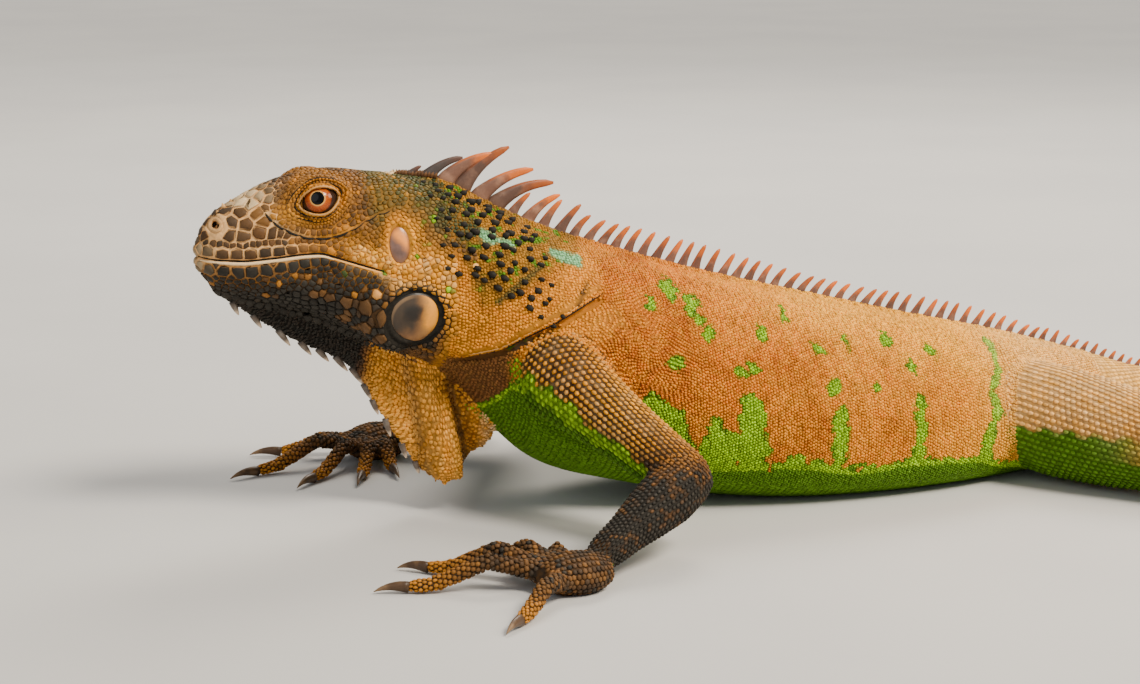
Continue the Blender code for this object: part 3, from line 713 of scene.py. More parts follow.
def mark_body(at, out, m, fine, rough, broad):
    """Trunk, neck and tail."""
    s, _, z = at.T
    top, _, widest, *_ = body_row(s)
    high = (z - widest) / (top - widest)
    on_tail = ramp(365, 420, s)
    m["tan"] = 0.10 + 0.55 * ramp(0.35, 1.0, high) * ramp(165, 250, s)
    # The tan that grows towards the hip is partly the hide's golden colour, partly painted light on the
    # brightly lit hip.
    m["tan"] += 0.32 * ramp(190, 270, s) + 0.5 * ramp(272, 325, s)
    m["tan"] += 0.5 * (fine - 0.5) + 0.35 * (broad - 0.5)
    # Darker towards the shoulder: partly the hide's colour, partly painted shade on the less lit chest
    # side.
    m["soot"] = 0.07 * ramp(210, 160, s) + 0.2 * (broad - 0.4) * ramp(0.8, 1, high)
    m["soot"] += 0.24 * ramp(0.66, 0.86, mottle(at, 1.5, 12)) * ramp(350, 290, s)
    m["tan"] += 0.35 * bump(s, 140, 16) * bump(z, 66, 16)
    m["ochre"] = 0.18 * ramp(0.55, 0.9, broad)
    m["ochre"] += 0.35 * ramp(0.6, 0.85, mottle(at, 2.2, 13))
    # Painted highlight: pale cream on the upper side of the hip.
    m["cream"] = (0.16 + 0.3 * fine) * ramp(296, 345, s) * ramp(-0.6, 0.5, high)
    # Painted shade in the crease between the flank and the thigh.
    m["soot"] += 0.30 * bump(s, 323, 7) * ramp(52, 36, z)
    lime = lime_marks(s, z, rough * 0.62 + mottle(at, 1.5, 15) * 0.55) * (1 - on_tail)
    # Below its green line the belly takes the darker leaf green: partly its colour, partly painted shade.
    m["lime"] = lime * np.where(z < line_height(BELLY_LINE, s) - 3, 0.86, 1.0)
    # Painted shade: the green darkens towards the floor.
    m["soot"] += 0.30 * lime * ramp(12, -2, z)

    neck = ramp(150, 138, s + (60 - z) * 0.15)
    loose = ramp(-2, 3, z - line_height(NECK_FOLD, s))  # above the fold
    olive = neck * ramp(-3, 4, z - 78 - (s - 97) * 0.45)
    olive *= ramp(-3, 3, s - 96 + 0.35 * (z - 98))
    fleck = ramp(0.66, 0.8, mottle(at, 2.6, 11)) * olive
    m.blend(neck, soot=0.04, ochre=0.30 + 0.3 * fine)
    m["soot"] += olive * (0.36 + 0.5 * (rough - 0.4))
    m["ochre"] -= olive * 0.1
    m["tan"] = (m["tan"] + 0.25 * neck * loose) * (1 - 0.7 * olive)
    m["lime"] = m["lime"] * (1 - neck * loose) + olive * 0.26 + fleck * 0.4
    for bar in MINT_STREAKS:
        gap = distance_to_line(s, z, bar) + 1.6 * (fine - 0.5)
        m.at_least(mint=ramp(bar[4] + 0.5, bar[4] - 0.5, gap))
    # Painted shade: dark lines along the neck's creases.
    for bar in NECK_CREASE_SHADES:
        gap = distance_to_line(s, z, bar)
        m.at_least(soot=0.85 * ramp(bar[4] + 0.9, bar[4] - 0.2, gap))
    # Below the neck's fold the hide is darkened: partly its dark skin, partly painted shadow under the
    # fold. The throat is darker too.
    under = ramp(1.5, -1.5, z - line_height(NECK_FOLD, s)) * ramp(120, 110, s)
    throat = ramp(92, 84, s + (z - 70) * 0.3)
    m.at_least(soot=np.maximum(under * 0.75, throat * 0.8 * ramp(80, 60, z)))

    wave = 0.5 + 0.5 * np.sin((s - 405) / TAIL_BAND * 2 * math.pi)
    band = ramp(0.35, 0.75, wave + 0.3 * (broad - 0.5))
    fade = ramp(380, 470, s)
    m["tan"] = m["tan"] * (1 - 0.35 * fade) + 0.10 * fade
    m.blend(on_tail, soot=0.12 + 0.42 * band * fade + 0.2 * ramp(600, 1200, s))
    m["ochre"] += 0.3 * on_tail * (1 - band)


def mark_head(at, out, m, fine, rough, broad):
    """Skull and lower jaw."""
    s, y, z = at.T
    above = z - line_height(MOUTH, s)
    speckle = mottle(at, 1.3, 9)
    m["soot"] = 0.91 + 0.22 * (fine - 0.5) + 0.3 * (broad - 0.5)
    m["soot"] -= 0.38 * ramp(0.65, 0.88, speckle)
    m["ochre"] = 0.55 + 0.5 * (rough - 0.5)
    m["tan"] = 0.25 + 0.2 * fine
    m["lime"] = 0.05 + 0.2 * ramp(56, 66, s) * ramp(100, 108, z)
    snout = ramp(40, 27, s)
    m.blend(snout, soot=0.93 + 0.14 * (fine - 0.5), lime=0)
    m["ochre"] -= 0.40 * snout

    warm = bump(s, 84, 11) * bump(z, 97, 11) + 0.9 * bump(s, 76, 6) * bump(z, 112, 6)
    warm += 0.8 * bump(s, 34, 9) * bump(z, 119, 4) + 0.3 * bump(s, 60, 10) * bump(z, 110, 5)
    warm += 0.8 * ramp(85, 91, s) * ramp(100, 90, z)
    over_fan = z - line_height(FAN_LINE, s)
    fan = ramp(50, 58, s) * ramp(-7.5, -4.5, over_fan) * ramp(8.5, 6.0, over_fan)
    warm = np.clip(warm + fan, 0, 1)
    m.blend(warm, soot=0.06 + 0.45 * ramp(0.55, 0.8, speckle), ochre=0.6, lime=0)
    m["tan"] += 0.5 * warm
    m["cream"] = 0.22 * fan * ramp(0.35, 0.75, fine)
    flush = fan * bump(s, 61, 6) * ramp(0.45, 0.7, rough)
    m["ochre"] *= 1 - 0.8 * flush

    eye = eye_rings(s, z)
    lids = ramp(2.3, 1.3, eye)
    ring = 0.5 + 0.5 * np.cos((eye - 1.16) * 2 * math.pi / 0.33)
    m.blend(lids, soot=0.62 - 0.42 * ring + 0.25 * (fine - 0.5), ochre=0.55, lime=0)

    jaw = ramp(0, -3, above) * ramp(76, 62, s)
    under = ramp(-5, -8, above)
    m.blend(jaw, soot=1.0 - 0.50 * under * ramp(0.68, 0.84, speckle))
    m.blend(0.6 * jaw * snout, ochre=0)
    m.at_least(ochre=0.55 * jaw * under)
    # The underside of the jaw is near black: partly its dark scales, partly painted shade under the jaw.
    low = ramp(-9, -17, above) * ramp(96, 76, s + 0.25 * (z - 60))
    m.at_least(soot=low)
    m.blend(low, lime=0)
    for mark in JOWL_DARK:
        m.blend(spot(s, z, mark), soot=0.88)
    for mark in JOWL_PALE:
        m.blend(spot(s, z, mark), soot=0.28)
        m.at_least(cream=0.15 * spot(s, z, mark))

    # Painted highlight: a pale patch on the top of the snout.
    m["cream"] += ramp(17.6, 19.2, z - 101 - 0.13 * s) * bump(s, 17, 6.5)
    m["cream"] += 0.45 * bump(s, 0.5, 2.6) * ramp(7, 2, np.abs(above))
    m.at_least(cream=ramp(3.2, 2.2, np.hypot(s - 74, y)) * ramp(125, 128, z))
    halo = ramp(2.1, 1.2, ear_rings(s, z))
    m["soot"] *= 1 - 0.85 * halo
    m.blend(halo, ochre=0.30, lime=0)
    for mark in FACE_LIME:
        m.at_least(lime=spot(s, z, mark, 0.4, 0.3))
    fleck = ramp(0.74, 0.82, mottle(at, 2.0, 11))
    m.at_least(lime=0.5 * fleck * ramp(76, 84, s) * ramp(100, 108, z))


def mark_dewlap(at, out, m, fine, rough, broad):
    s, _, z = at.T
    dark = ramp(70, 60, s + (62 - z) * 0.25)
    speckle = ramp(0.5, 0.8, mottle(at, 1.4, 14))
    m["soot"] = 0.16 * speckle + 0.99 * dark
    # Painted shade in the creases where the pleats meet.
    for along, deep in DEWLAP_CREASE_SHADES:
        (s1, _, z1), (s2, _, z2) = dewlap_at(np.array([along, along]), np.array([0.0, 1.0]))
        gap = distance_to_line(s, z, (s1, z1, s2, z2)) + 1.5 * (fine - 0.5)
        m["soot"] += deep * ramp(3.2, 0.8, gap)
    m["ochre"] = (0.42 + 0.5 * (rough - 0.5)) * (1 - dark)
    m["tan"] = (0.50 + 0.5 * fine) * (1 - dark)
    rim = ramp(106, 112, s) * ramp(50, 40, z)
    m["cream"] = 0.18 * (1 - dark) * fine + 0.7 * rim * ramp(0.2, 0.6, fine)
    m["lime"] = 0.35 * rim * ramp(0.6, 0.75, rough)


def mark_arm(at, out, m, fine, rough, broad):
    s, _, z = at.T
    # The forearm is darkened towards near black: partly its dark brown, partly painted shade.
    fore = ramp(46, 26, z)
    m["soot"] = 0.22 + 0.5 * (fine - 0.5) + 0.85 * fore + 0.15 * ramp(62, 74, z)
    m["tan"] = 0.62 + 0.5 * (broad - 0.5) - 0.3 * fore
    m["ochre"] = 0.30 * (1 - fore)
    # Cream flecks on the upper arm's upper side: partly pale scales, partly painted highlights.
    m["cream"] = 0.16 * ramp(0.45, 0.75, fine) * (1 - fore) * ramp(30, 45, z)
    inner = -0.75 * out[:, 2] - 0.62 * out[:, 0] + 0.3 * (rough - 0.5) - 0.004 * (s - 128)
    m["lime"] = ramp(0.42, 0.55, inner) * ramp(10, 18, z)
    m["lime"] *= 1 - 0.16 * ramp(0.72, 0.84, inner)
    m["soot"] *= 1 - 0.85 * m["lime"]
    m["cream"] *= 1 - m["lime"]


def mark_leg(at, out, m, fine, rough, broad):
    s, y, z = at.T
    thigh = ramp(100, 60, np.abs(y)) * ramp(400, 375, s)
    m["soot"] = 0.48 - 0.40 * thigh + 0.25 * (fine - 0.5)
    m["tan"] = 0.45 + 0.40 * thigh + 0.2 * (broad - 0.5)
    m["ochre"] = 0.15 + 0.3 * thigh * (rough - 0.2)
    # Painted highlight: cream on the upper side of the thigh.
    m["cream"] = (0.15 + 0.45 * fine) * thigh * ramp(8, 22, z)
    low = ramp(0.30, 0.55, -out[:, 2] + 0.3 * (rough - 0.5))
    low = np.clip(low + ramp(27, 23.5, z + 5 * (rough - 0.5)) * thigh, 0, 1)
    m["lime"] = 0.84 * low * ramp(120, 80, np.abs(y))
    m["cream"] *= 1 - low


def mark_foot(at, out, m, fine, rough, broad):
    # The hands and feet are near black: partly their dark brown, partly painted shade.
    m["soot"] = 0.90 + 0.3 * (fine - 0.5)
    m["tan"] = 0.35 + 0.3 * (rough - 0.5)
    m["ochre"] = 0.30 + 0.3 * (broad - 0.5)


MARKERS = {
    "body": mark_body,
    "head": mark_head,
    "dewlap": mark_dewlap,
    "arm": mark_arm,
    "leg": mark_leg,
    "foot": mark_foot,
}


def markings(at, out, part, seed=0):
    """(tan, lime, soot, ochre) and (cream, mint, height, tone) at points of one part of the hide."""
    m = Marks((name, np.zeros(len(at))) for name in ("tan", "lime", "soot", "ochre", "cream", "mint"))
    MARKERS[part](at, out, m, mottle(at, 1.9, 1), mottle(at, 4.2, 3), mottle(at, 15, 2))
    tone = np.random.default_rng(seed + len(at)).random(len(at))
    marks = np.stack([m["tan"], m["lime"], m["soot"], m["ochre"]], axis=-1)
    extra = np.stack([m["cream"], m["mint"], 0 * tone, tone], axis=-1)
    return np.clip(marks, 0, 1), np.clip(extra, 0, 1)


# ---------------------------------------------------------------- materials

# Colours that only one small piece has; the rest are IguanaColours.
IRIS_FIBRE, IRIS_RIM, PUPIL = (0.66, 0.20, 0.012), (0.030, 0.014, 0.008), (0.001, 0.001, 0.001)
# The jowl's bright orange is partly its colour, partly painted light on its hind side.
JOWL_TAN, JOWL_BROWN, JOWL_ORANGE_LIT = (0.40, 0.19, 0.06), (0.26, 0.12, 0.045), (1.0, 0.40, 0.03)
JOWL_SMUDGE, JOWL_CORE = (0.036, 0.032, 0.026), (0.022, 0.020, 0.018)
JOWL_FRONT, JOWL_RIM = (0.36, 0.22, 0.11), (0.012, 0.010, 0.008)
DRUM_PINK, DRUM_BROWN = (0.19, 0.105, 0.085), (0.12, 0.070, 0.055)
DRUM_LIT, DRUM_RIM = (1.0, 0.33, 0.04), (0.20, 0.085, 0.03)
HORN_GREY = (0.055, 0.050, 0.048)
SPINE_STREAK, CLAW_STREAK = (0.40, 0.21, 0.13), (0.22, 0.13, 0.06)
FRINGE_HORN = ((0.16, 0.12, 0.09), (0.80, 0.60, 0.42), (0.42, 0.36, 0.30))  # root, tip, streak
FLOOR_PALE, FLOOR_GREY = (0.60, 0.59, 0.57), (0.57, 0.56, 0.545)


class Value:
    """A socket in a material, so that shader maths reads as Python."""

    def __init__(self, finish, socket):
        self.finish, self.socket = finish, socket

    def maths(self, operation, first, second):
        return self.finish.node("Math", {"operation": operation}, {0: first, 1: second})

    def __add__(self, other):
        return self.maths("ADD", self, other)

    __radd__ = __add__

    def __sub__(self, other):
        return self.maths("SUBTRACT", self, other)

    def __rsub__(self, other):
        return self.maths("SUBTRACT", other, self)

    def __mul__(self, other):
        return self.maths("MULTIPLY", self, other)

    __rmul__ = __mul__

    def __truediv__(self, other):
        return self.maths("DIVIDE", self, other)

    def __pow__(self, other):
        return self.maths("POWER", self, other)

    def between(self, low, high):
        """0 below low, 1 above high and smooth in between."""
        sockets = {"Value": self, "From Min": low, "From Max": high}
        return self.finish.node("MapRange", {"interpolation_type": "SMOOTHSTEP"}, sockets)


class Finish:
    """A material under construction."""

    def __init__(self, name, roughness=0.5, specular=0.5, coat=0.0, coat_roughness=0.1):
        self.material = bpy.data.materials.new(name)
        self.material.use_nodes = True
        self.tree = self.material.node_tree
        self.shader = self.tree.nodes["Principled BSDF"]
        self.shader.inputs["Roughness"].default_value = roughness
        self.shader.inputs["Specular IOR Level"].default_value = specular
        self.shader.inputs["Coat Weight"].default_value = coat
        self.shader.inputs["Coat Roughness"].default_value = coat_roughness

    def node(self, kind, settings, sockets, output=0):
        """Makes a node: its settings first, then the values and links of its sockets."""
        made = self.tree.nodes.new("ShaderNode" + kind)
        for name, value in settings.items():
            setattr(made, name, value)
        for name, value in sockets.items():
            if isinstance(value, Value):
                self.tree.links.new(value.socket, made.inputs[name])
            else:
                made.inputs[name].default_value = value
        return Value(self, made.outputs[output])

    def mix(self, factor, first, second, blend="MIX"):
        first, second = (c if isinstance(c, Value) else (*c, 1) for c in (first, second))
        settings = {"data_type": "RGBA", "blend_type": blend, "clamp_factor": True}
        return self.node("Mix", settings, {0: factor, 6: first, 7: second}, 2)

    def dim(self, colour, light):
        """A colour times a number."""
        grey = self.node("CombineColor", {}, {0: light, 1: light, 2: light})
        return self.mix(1.0, colour, grey, "MULTIPLY")

    def noise(self, scale, detail=3.0, roughness=0.5, vector=None):
        vector = vector or self.node("TexCoord", {}, {}, "Object")
        sockets = {"Vector": vector, "Scale": scale, "Detail": detail, "Roughness": roughness}
        return self.node("TexNoise", {}, sockets)

    def attribute(self, name):
        """The four values of a colour attribute."""
        colour = self.node("Attribute", {"attribute_name": name}, {}, "Color")
        red = self.node("SeparateColor", {}, {"Color": colour})
        sockets = (*red.socket.node.outputs, colour.socket.node.outputs["Alpha"])
        return [Value(self, socket) for socket in sockets]

    def bump(self, height, strength, distance):
        sockets = {"Height": height, "Strength": strength, "Distance": distance}
        self.set("Normal", self.node("Bump", {}, sockets))

    def set(self, name, value):
        self.tree.links.new(value.socket, self.shader.inputs[name])


def hide_finish(name, colours, gap, roughness=0.58):
    """The marked hide: gap is how dark it is between and at the foot of the scales, partly the darker
    skin there and partly painted shade.
    """
    f = Finish(name, roughness, 0.12)
    tan, lime, soot, ochre = f.attribute("marks")
    cream, mint, height, tone = f.attribute("marks2")
    broad, fine = f.noise(60.0, 4.0), f.noise(900.0, 2.0)
    colour = f.mix(broad.between(0.3, 0.7), colours.rust, colours.rust_deep)
    colour = f.mix(tan * (0.75 + fine * 0.5), colour, colours.tan)
    colour = f.mix(ochre * (0.6 + broad * 0.8), colour, colours.ochre)
    colour = f.mix(soot, colour, colours.soot)
    bright = lime.between(0.84, 0.98) * (0.55 + tone * 0.45)
    colour = f.mix(lime.between(0.1, 0.7), colour, f.mix(bright, colours.leaf, colours.lime))
    colour = f.mix(mint, colour, colours.mint)
    colour = f.mix(cream, colour, colours.cream)
    light = (0.70 + tone * 0.5) * (0.82 + fine * 0.36)
    # Painted shade: the scales and the hide between them are darkened towards their feet by the height
    # mark, partly the skin's own darker colour there.
    shade = height.between(-0.35, 0.75)
    f.set("Base Color", f.dim(colour, light * (gap + shade * (1 - gap))))
    f.set("Roughness", (roughness + 0.18) - shade * 0.16 + (fine - 0.5) * 0.2)
    f.bump(fine + f.noise(2600.0, 2.0) * 0.5, 0.25, 0.0002)
    return f.material


def horn_finish(name, root, tip, streak, foot=0.0):
    """Horn streaked from root to tip; foot is how pale its foot and how bright its front edge is."""
    f = Finish(name, 0.42, 0.25, 0.06, 0.2)
    share, tone, grey, front = f.attribute("marks")
    fine, broad = f.noise(1500.0, 3.0), f.noise(220.0, 3.0)
    colour = f.mix(broad.between(0.45, 0.75) * 0.6, root, streak)
    colour = f.mix((1 - share.between(0.05, 0.3)) * foot, colour, streak)
    colour = f.mix((share + (broad - 0.5) * 0.4).between(0.50, 0.84), colour, tip)
    colour = f.mix(front.between(0.80, 0.97) * share.between(0.25, 0.6) * foot, colour, tip)
    colour = f.mix(grey, colour, HORN_GREY)
    light = (0.72 + tone * 0.5) * (0.8 + fine * 0.4) * (0.55 + share.between(-0.1, 0.35) * 0.45)
    f.set("Base Color", f.dim(colour, light))
    f.set("Roughness", 0.42 + (fine - 0.5) * 0.2)
    f.bump(fine + broad, 0.2, 0.0002)
    return f.material


def eye_finish(colours):
    """The eyeball: pupil, golden ring, fibrous iris and dark rim under a wet coat."""
    f = Finish("eye_wet", 0.16, 0.16, 0.22, 0.03)
    across, round_it, _, _ = f.attribute("marks")  # millimetres from the pupil's centre, over 10
    place = f.node("CombineXYZ", {}, {0: round_it * 60.0, 1: across * 8.0, 2: 0.0})
    fibre = f.noise(1.0, 3.0, 0.6, place)
    colour = f.mix(across.between(0.28, 0.46), colours.iris, colours.iris_deep)
    colour = f.mix(fibre.between(0.4, 0.7) * 0.4, colour, IRIS_FIBRE)
    colour = f.mix((1 - across.between(0.28, 0.325)) * 0.9, colour, colours.iris_ring)
    colour = f.mix(across.between(0.50, 0.58), colour, IRIS_RIM)
    colour = f.mix(1 - across.between(0.25, 0.262), colour, PUPIL)
    f.set("Base Color", colour)
    return f.material


def jowl_finish():
    """The great round scale: tan to orange, a grey smudge, a dark rim and faint growth rings; its orange
    hind side is partly its colour, partly painted light.
    """
    f = Finish("jowl_scale", 0.42, 0.35, 0.1, 0.2)
    out, side, up, _ = f.attribute("marks")  # 0 in the middle to 1 at the rim, then the place on it
    fine, broad = f.noise(1300.0, 3.0), f.noise(130.0, 3.0)
    colour = f.mix(broad.between(0.35, 0.7), JOWL_TAN, JOWL_BROWN)
    blur = (broad - 0.5) * 0.35
    smudge = (1 - (side + blur).between(0.48, 0.66)) * (up + blur).between(0.14, 0.42)
    colour = f.mix(smudge * 0.92, colour, JOWL_SMUDGE)
    from_core, over_core = side + blur - 0.46, up - 0.62
    core = (1 - from_core * from_core * 14) * (1 - over_core * over_core * 22)
    colour = f.mix(core.between(0.2, 0.9) * 0.9, colour, JOWL_CORE)
    # Partly painted light: the hind side is coloured a bright, lit orange.
    colour = f.mix((side + blur).between(0.60, 0.78) * up.between(0.15, 0.4), colour, JOWL_ORANGE_LIT)
    front_rim = out.between(0.76, 0.84) * (1 - side.between(0.3, 0.6))
    colour = f.mix(front_rim * 0.5, colour, JOWL_FRONT)
    colour = f.mix(out.between(0.90, 0.93), colour, JOWL_RIM)
    f.set("Base Color", f.dim(colour, 0.85 + fine * 0.3))
    f.bump(fine + broad, 0.2, 0.0002)
    return f.material


def drum_finish():
    """The ear drum: thin pinkish-brown skin, a little shiny, its upper hind part painted a bright lit
    orange.
    """
    f = Finish("ear_drum", 0.33, 0.5, 0.3, 0.2)
    out, side, up, _ = f.attribute("marks")
    broad, fine = f.noise(260.0, 3.0), f.noise(1500.0, 2.0)
    colour = f.mix(broad.between(0.3, 0.7), DRUM_PINK, DRUM_BROWN)
    # Painted light: the upper hind part of the drum is coloured bright orange as if lit.
    lit = (up * 0.75 + side * 0.45 + (broad - 0.5) * 0.3).between(0.5, 0.8)
    colour = f.mix(lit * 0.95, colour, DRUM_LIT)
    colour = f.mix(out.between(0.62, 1.0) * 0.8, colour, DRUM_RIM)
    f.set("Base Color", colour)
    f.bump(fine + broad, 0.15, 0.0002)
    return f.material


# ---------------------------------------------------------------- the hide


def swelling(s):
    """How much the thin end of the tail is swelled while the hide is being fused."""
    return np.maximum(1, 5.2 / np.interp(s, STEPS, BODY[:, 3]))


def swell(points, back=False):
    s, y, z = points.T
    factor, centre = swelling(s), np.interp(s, STEPS, BODY[:, 2])
    factor = np.where((s > TAIL_START) & (np.abs(y) < TAIL_REACH), 1 / factor if back else factor, 1)
    return np.stack([s, y * factor, centre + (z - centre) * factor], axis=-1)


def dewlap_wall(along, turn):
    """The dewlap as a closed thin wall, its free edge rounded."""
    down = (0.5 - 0.5 * np.cos(2 * math.pi * turn)) * 1.03 - 0.04
    middle, step = dewlap_at(along, down), 0.01
    ahead = dewlap_at(np.minimum(along + step, 1), down)
    ahead -= dewlap_at(np.maximum(along - step, 0), down)
    lower = dewlap_at(along, down + step) - middle
    out = unit(np.cross(lower, ahead))
    side = power_curve(np.sin(2 * math.pi * turn), 5)
    return middle + out * side[:, None] * DEWLAP_HALF


def fused_hide(depth, grain):
    """One closed skin over the whole animal, before its tail bends, in faces of one grain."""
    mesh = bmesh.new()
    add_rolled(mesh, 312, 48, lambda along, turn: swell(body_at(along * BODY_END, turn, depth)))
    for sign in SIDES.values():
        add_ball(mesh, EYE * (1, sign, 1), np.array(ORBIT_RADII) - depth)
        add_ball(mesh, CHEEK * (1, sign, 1), np.array(CHEEK_RADII) - depth)
    for name in LIMBS:
        path, radii = limb_shape(name)
        add_tube(mesh, 40, 32, (path, radii - depth))
    for name, (_, palm_radii, heading, digits, _) in FEET.items():
        turn = -side_of(name) * math.radians(heading)
        add_ball(mesh, palm_place(name)[0], np.array(palm_radii) - depth, turn)
        for digit in range(len(digits)):
            add_tube(mesh, 30, 16, digit_shape(name, digit)[0])
    add_rolled(mesh, 90, 60, dewlap_wall)
    at = np.linspace(78, 470, 90)  # the low ridge that the crest stands on
    ridge = np.stack([at, 0 * at, body_row(at)[0] - 0.9], axis=-1)
    thick = np.interp(at, (78, 90, 130, 260, 470), (0.8, 2.4, 2.7, 2.3, 1.2)) - depth
    add_tube(mesh, 200, 12, tube(ridge, thick, (False, False)))
    obj = add_object("hide_volume", mesh_from(mesh, "hide_volume"))
    fuse = obj.modifiers.new("fuse", "REMESH")
    fuse.mode, fuse.voxel_size, fuse.use_smooth_shade = "VOXEL", grain, True
    soften = obj.modifiers.new("soften", "SMOOTH")
    soften.factor, soften.iterations = 0.5, 4
    graph = bpy.context.evaluated_depsgraph_get()
    made = bpy.data.meshes.new_from_object(obj.evaluated_get(graph))
    bpy.data.objects.remove(obj)
    return made


def refine(mesh, inside, passes):
    """Halves the faces of one region, then softens what the halving left flat."""
    bm = bmesh.new()
    bm.from_mesh(mesh)
    chosen = inside(np.array([v.co for v in bm.verts]))
    edges = [e for e in bm.edges if chosen[e.verts[0].index] and chosen[e.verts[1].index]]
    bmesh.ops.subdivide_edges(bm, edges=edges, cuts=1, use_grid_fill=True)
    chosen = inside(np.array([v.co for v in bm.verts]))
    verts = [v for v, yes in zip(bm.verts, chosen) if yes]
    axes = {"use_axis_x": True, "use_axis_y": True, "use_axis_z": True}
    for _ in range(passes):
        bmesh.ops.smooth_vert(bm, verts=verts, factor=0.5, **axes)
    bm.to_mesh(mesh)
    bm.free()


def near_eye(points):
    """Which points are on the eye's lids or between them."""
    s, y, z = points.T
    return (eye_rings(s, z) < LID_REACH) & (np.abs(y) > 11)


def eye_rings(s, z):
    """1 on the edge of the eye's opening in side view, less inside it and more outside."""
    s, z = s - EYE_OPENING[0], z - EYE_OPENING[1]
    along = np.abs(s * math.cos(EYE_TILT) + z * math.sin(EYE_TILT)) / EYE_OPENING_RADII[0]
    over = np.abs(z * math.cos(EYE_TILT) - s * math.sin(EYE_TILT)) / EYE_OPENING_RADII[1]
    corner = EYE_CORNER + 0.3 * np.clip(np.maximum(along, over) - 1, 0, 1)
    return (along**corner + over**corner) ** (1 / corner)


# Ridges and creases in side view: the line that each runs along, how far it stands out and how
# wide it is. The neck's small ones are all alike.
HEAD_FOLDS = (
    ((27, 119, 38, 112), 0.5, 1.6), ((38, 112, 58, 114), 0.5, 1.6), ((36, 109, 58, 111), -0.6, 1.3),
    ((66, 97.5, 88, 92), -0.7, 1.5), ((62, 93.5, 90, 88), -0.5, 1.2),
)
BODY_FOLDS = (((322, 50, 312, 18), -1.1, 3.0), ((146, 66, 158, 52), -0.7, 2.0))
NECK_LINES = ((100, 70, 140, 92), (106, 75, 140, 96), (112, 80, 140, 100))


def sculpt_head(points, ways):
    """Mouth, lips, nostrils, ears, brows and the creases round the great round scales."""
    s, y, z = points.T
    outer = ramp(1.5, 3.5, np.abs(y))
    above = z - line_height(MOUTH, s)
    front = ramp(71, 63, s)
    push = -1.0 * bump(above, 0, 0.8) * front
    push += 0.35 * (bump(above, 2.9, 1.9) + bump(above, -3.2, 2.2)) * front
    nostril = np.hypot(s - NOSTRIL[0], z - NOSTRIL[2])
    rim = outer * (0.9 * bump(nostril, 3.5, 1.2) - 2.8 * ramp(2.5, 1.3, nostril))
    push += rim * ramp(30, 20, s)
    ear = ear_rings(s, z)
    push += outer * (0.35 * bump(ear, 1.4, 0.25) - 1.6 * ramp(1.18, 0.8, ear))
    jowl = np.hypot(s - JOWL[0], z - JOWL[2])
    side = ramp(10, 16, np.abs(y))
    ring = -1.0 * bump(jowl, JOWL_RADIUS + 0.5, 0.8) + 0.5 * bump(jowl, JOWL_RADIUS + 2.4, 1.2)
    push += side * ring
    push -= 2.2 * side * ramp(JOWL_RADIUS, JOWL_RADIUS - 2, jowl)
    push -= 0.7 * outer * bump(s, 29, 7) * bump(z, 117, 5)
    for line, height, width in HEAD_FOLDS:
        push += height * outer * bump(distance_to_line(s, z, line), 0, width)
    push += 0.12 * np.sin(above * 2.2) * bump(s, 72, 10) * bump(z, 96, 7)
    head = ramp(95, 88, s) * ramp(58, 66, z)
    return points + ways * (push * head)[:, None]


def sculpt_eyes(points):
    """Lids that wrap the eyeball, folded in rings, and a clean opening between them."""
    s, y, z = points.T
    rings = eye_rings(s, z)
    on_lid = near_eye(points)
    toward = np.stack([s - EYE_OPENING[0], z - EYE_OPENING[1]], axis=-1)
    toward = toward / np.maximum(rings, 1e-6)[:, None]
    snapped = np.where(rings > 1, 1.0, 0.97)
    rim = on_lid & (rings > 0.86) & (rings < 1.10)
    s = np.where(rim, EYE_OPENING[0] + toward[:, 0] * snapped, s)
    z = np.where(rim, EYE_OPENING[1] + toward[:, 1] * snapped, z)
    away = np.hypot(s - EYE[0], z - EYE[2])
    lid = EYE[1] + np.sqrt(np.maximum((EYEBALL_RADIUS + 0.9) ** 2 - away**2, 1.0))
    hole = EYE[1] + np.sqrt(np.maximum((EYEBALL_RADIUS - 1.3) ** 2 - away**2, 1.0))
    fold = 0.32 * np.cos((rings - 1.08) * 2 * math.pi / 0.235) * ramp(LID_REACH, 1.3, rings)
    share = ramp(1.85, 1.2, rings)
    new_y = np.where(rings < 0.99, hole, lid * share + np.abs(y) * (1 - share) + fold)
    y = np.where(on_lid, np.sign(y) * new_y, y)
    return np.stack([s, y, z], axis=-1)


def sculpt_body(points, ways):
    """The neck's hanging fold, small folds behind the shoulder and at the hip, and the flank."""
    s, y, z = points.T
    outer = ramp(8, 14, np.abs(y))
    gap = z - line_height(NECK_FOLD, s)
    stretch = ramp(92, 98, s) * ramp(152, 146, s)
    push = outer * stretch * (2.1 * bump(gap, 2.2, 2.2) - 2.6 * bump(gap, -1.6, 1.5))
    for line in NECK_LINES:
        push -= 0.35 * outer * bump(distance_to_line(s, z, line), 0, 0.9)
    push += 0.5 * outer * bump(s, 190, 34) * bump(z, 70, 14)
    for line, height, width in BODY_FOLDS:
        push += height * outer * bump(distance_to_line(s, z, line), 0, width)
    rib = np.sin((s + 0.35 * z) / 9.0 * 2 * math.pi)
    push += 0.18 * rib * outer * bump(s, 240, 60) * bump(z, 45, 22)
    neck = ramp(88, 94, s) * (np.abs(y) < 60)
    return points + ways * (push * neck)[:, None]


def along_stretch(points, one, other):
    """How far along a stretch each point is, from 0 to 1, and its distance from the stretch."""
    span = other - one
    share = np.clip((points - one) @ span / (span @ span), 0, 1)
    return share, np.linalg.norm(points - one - share[:, None] * span, axis=1)


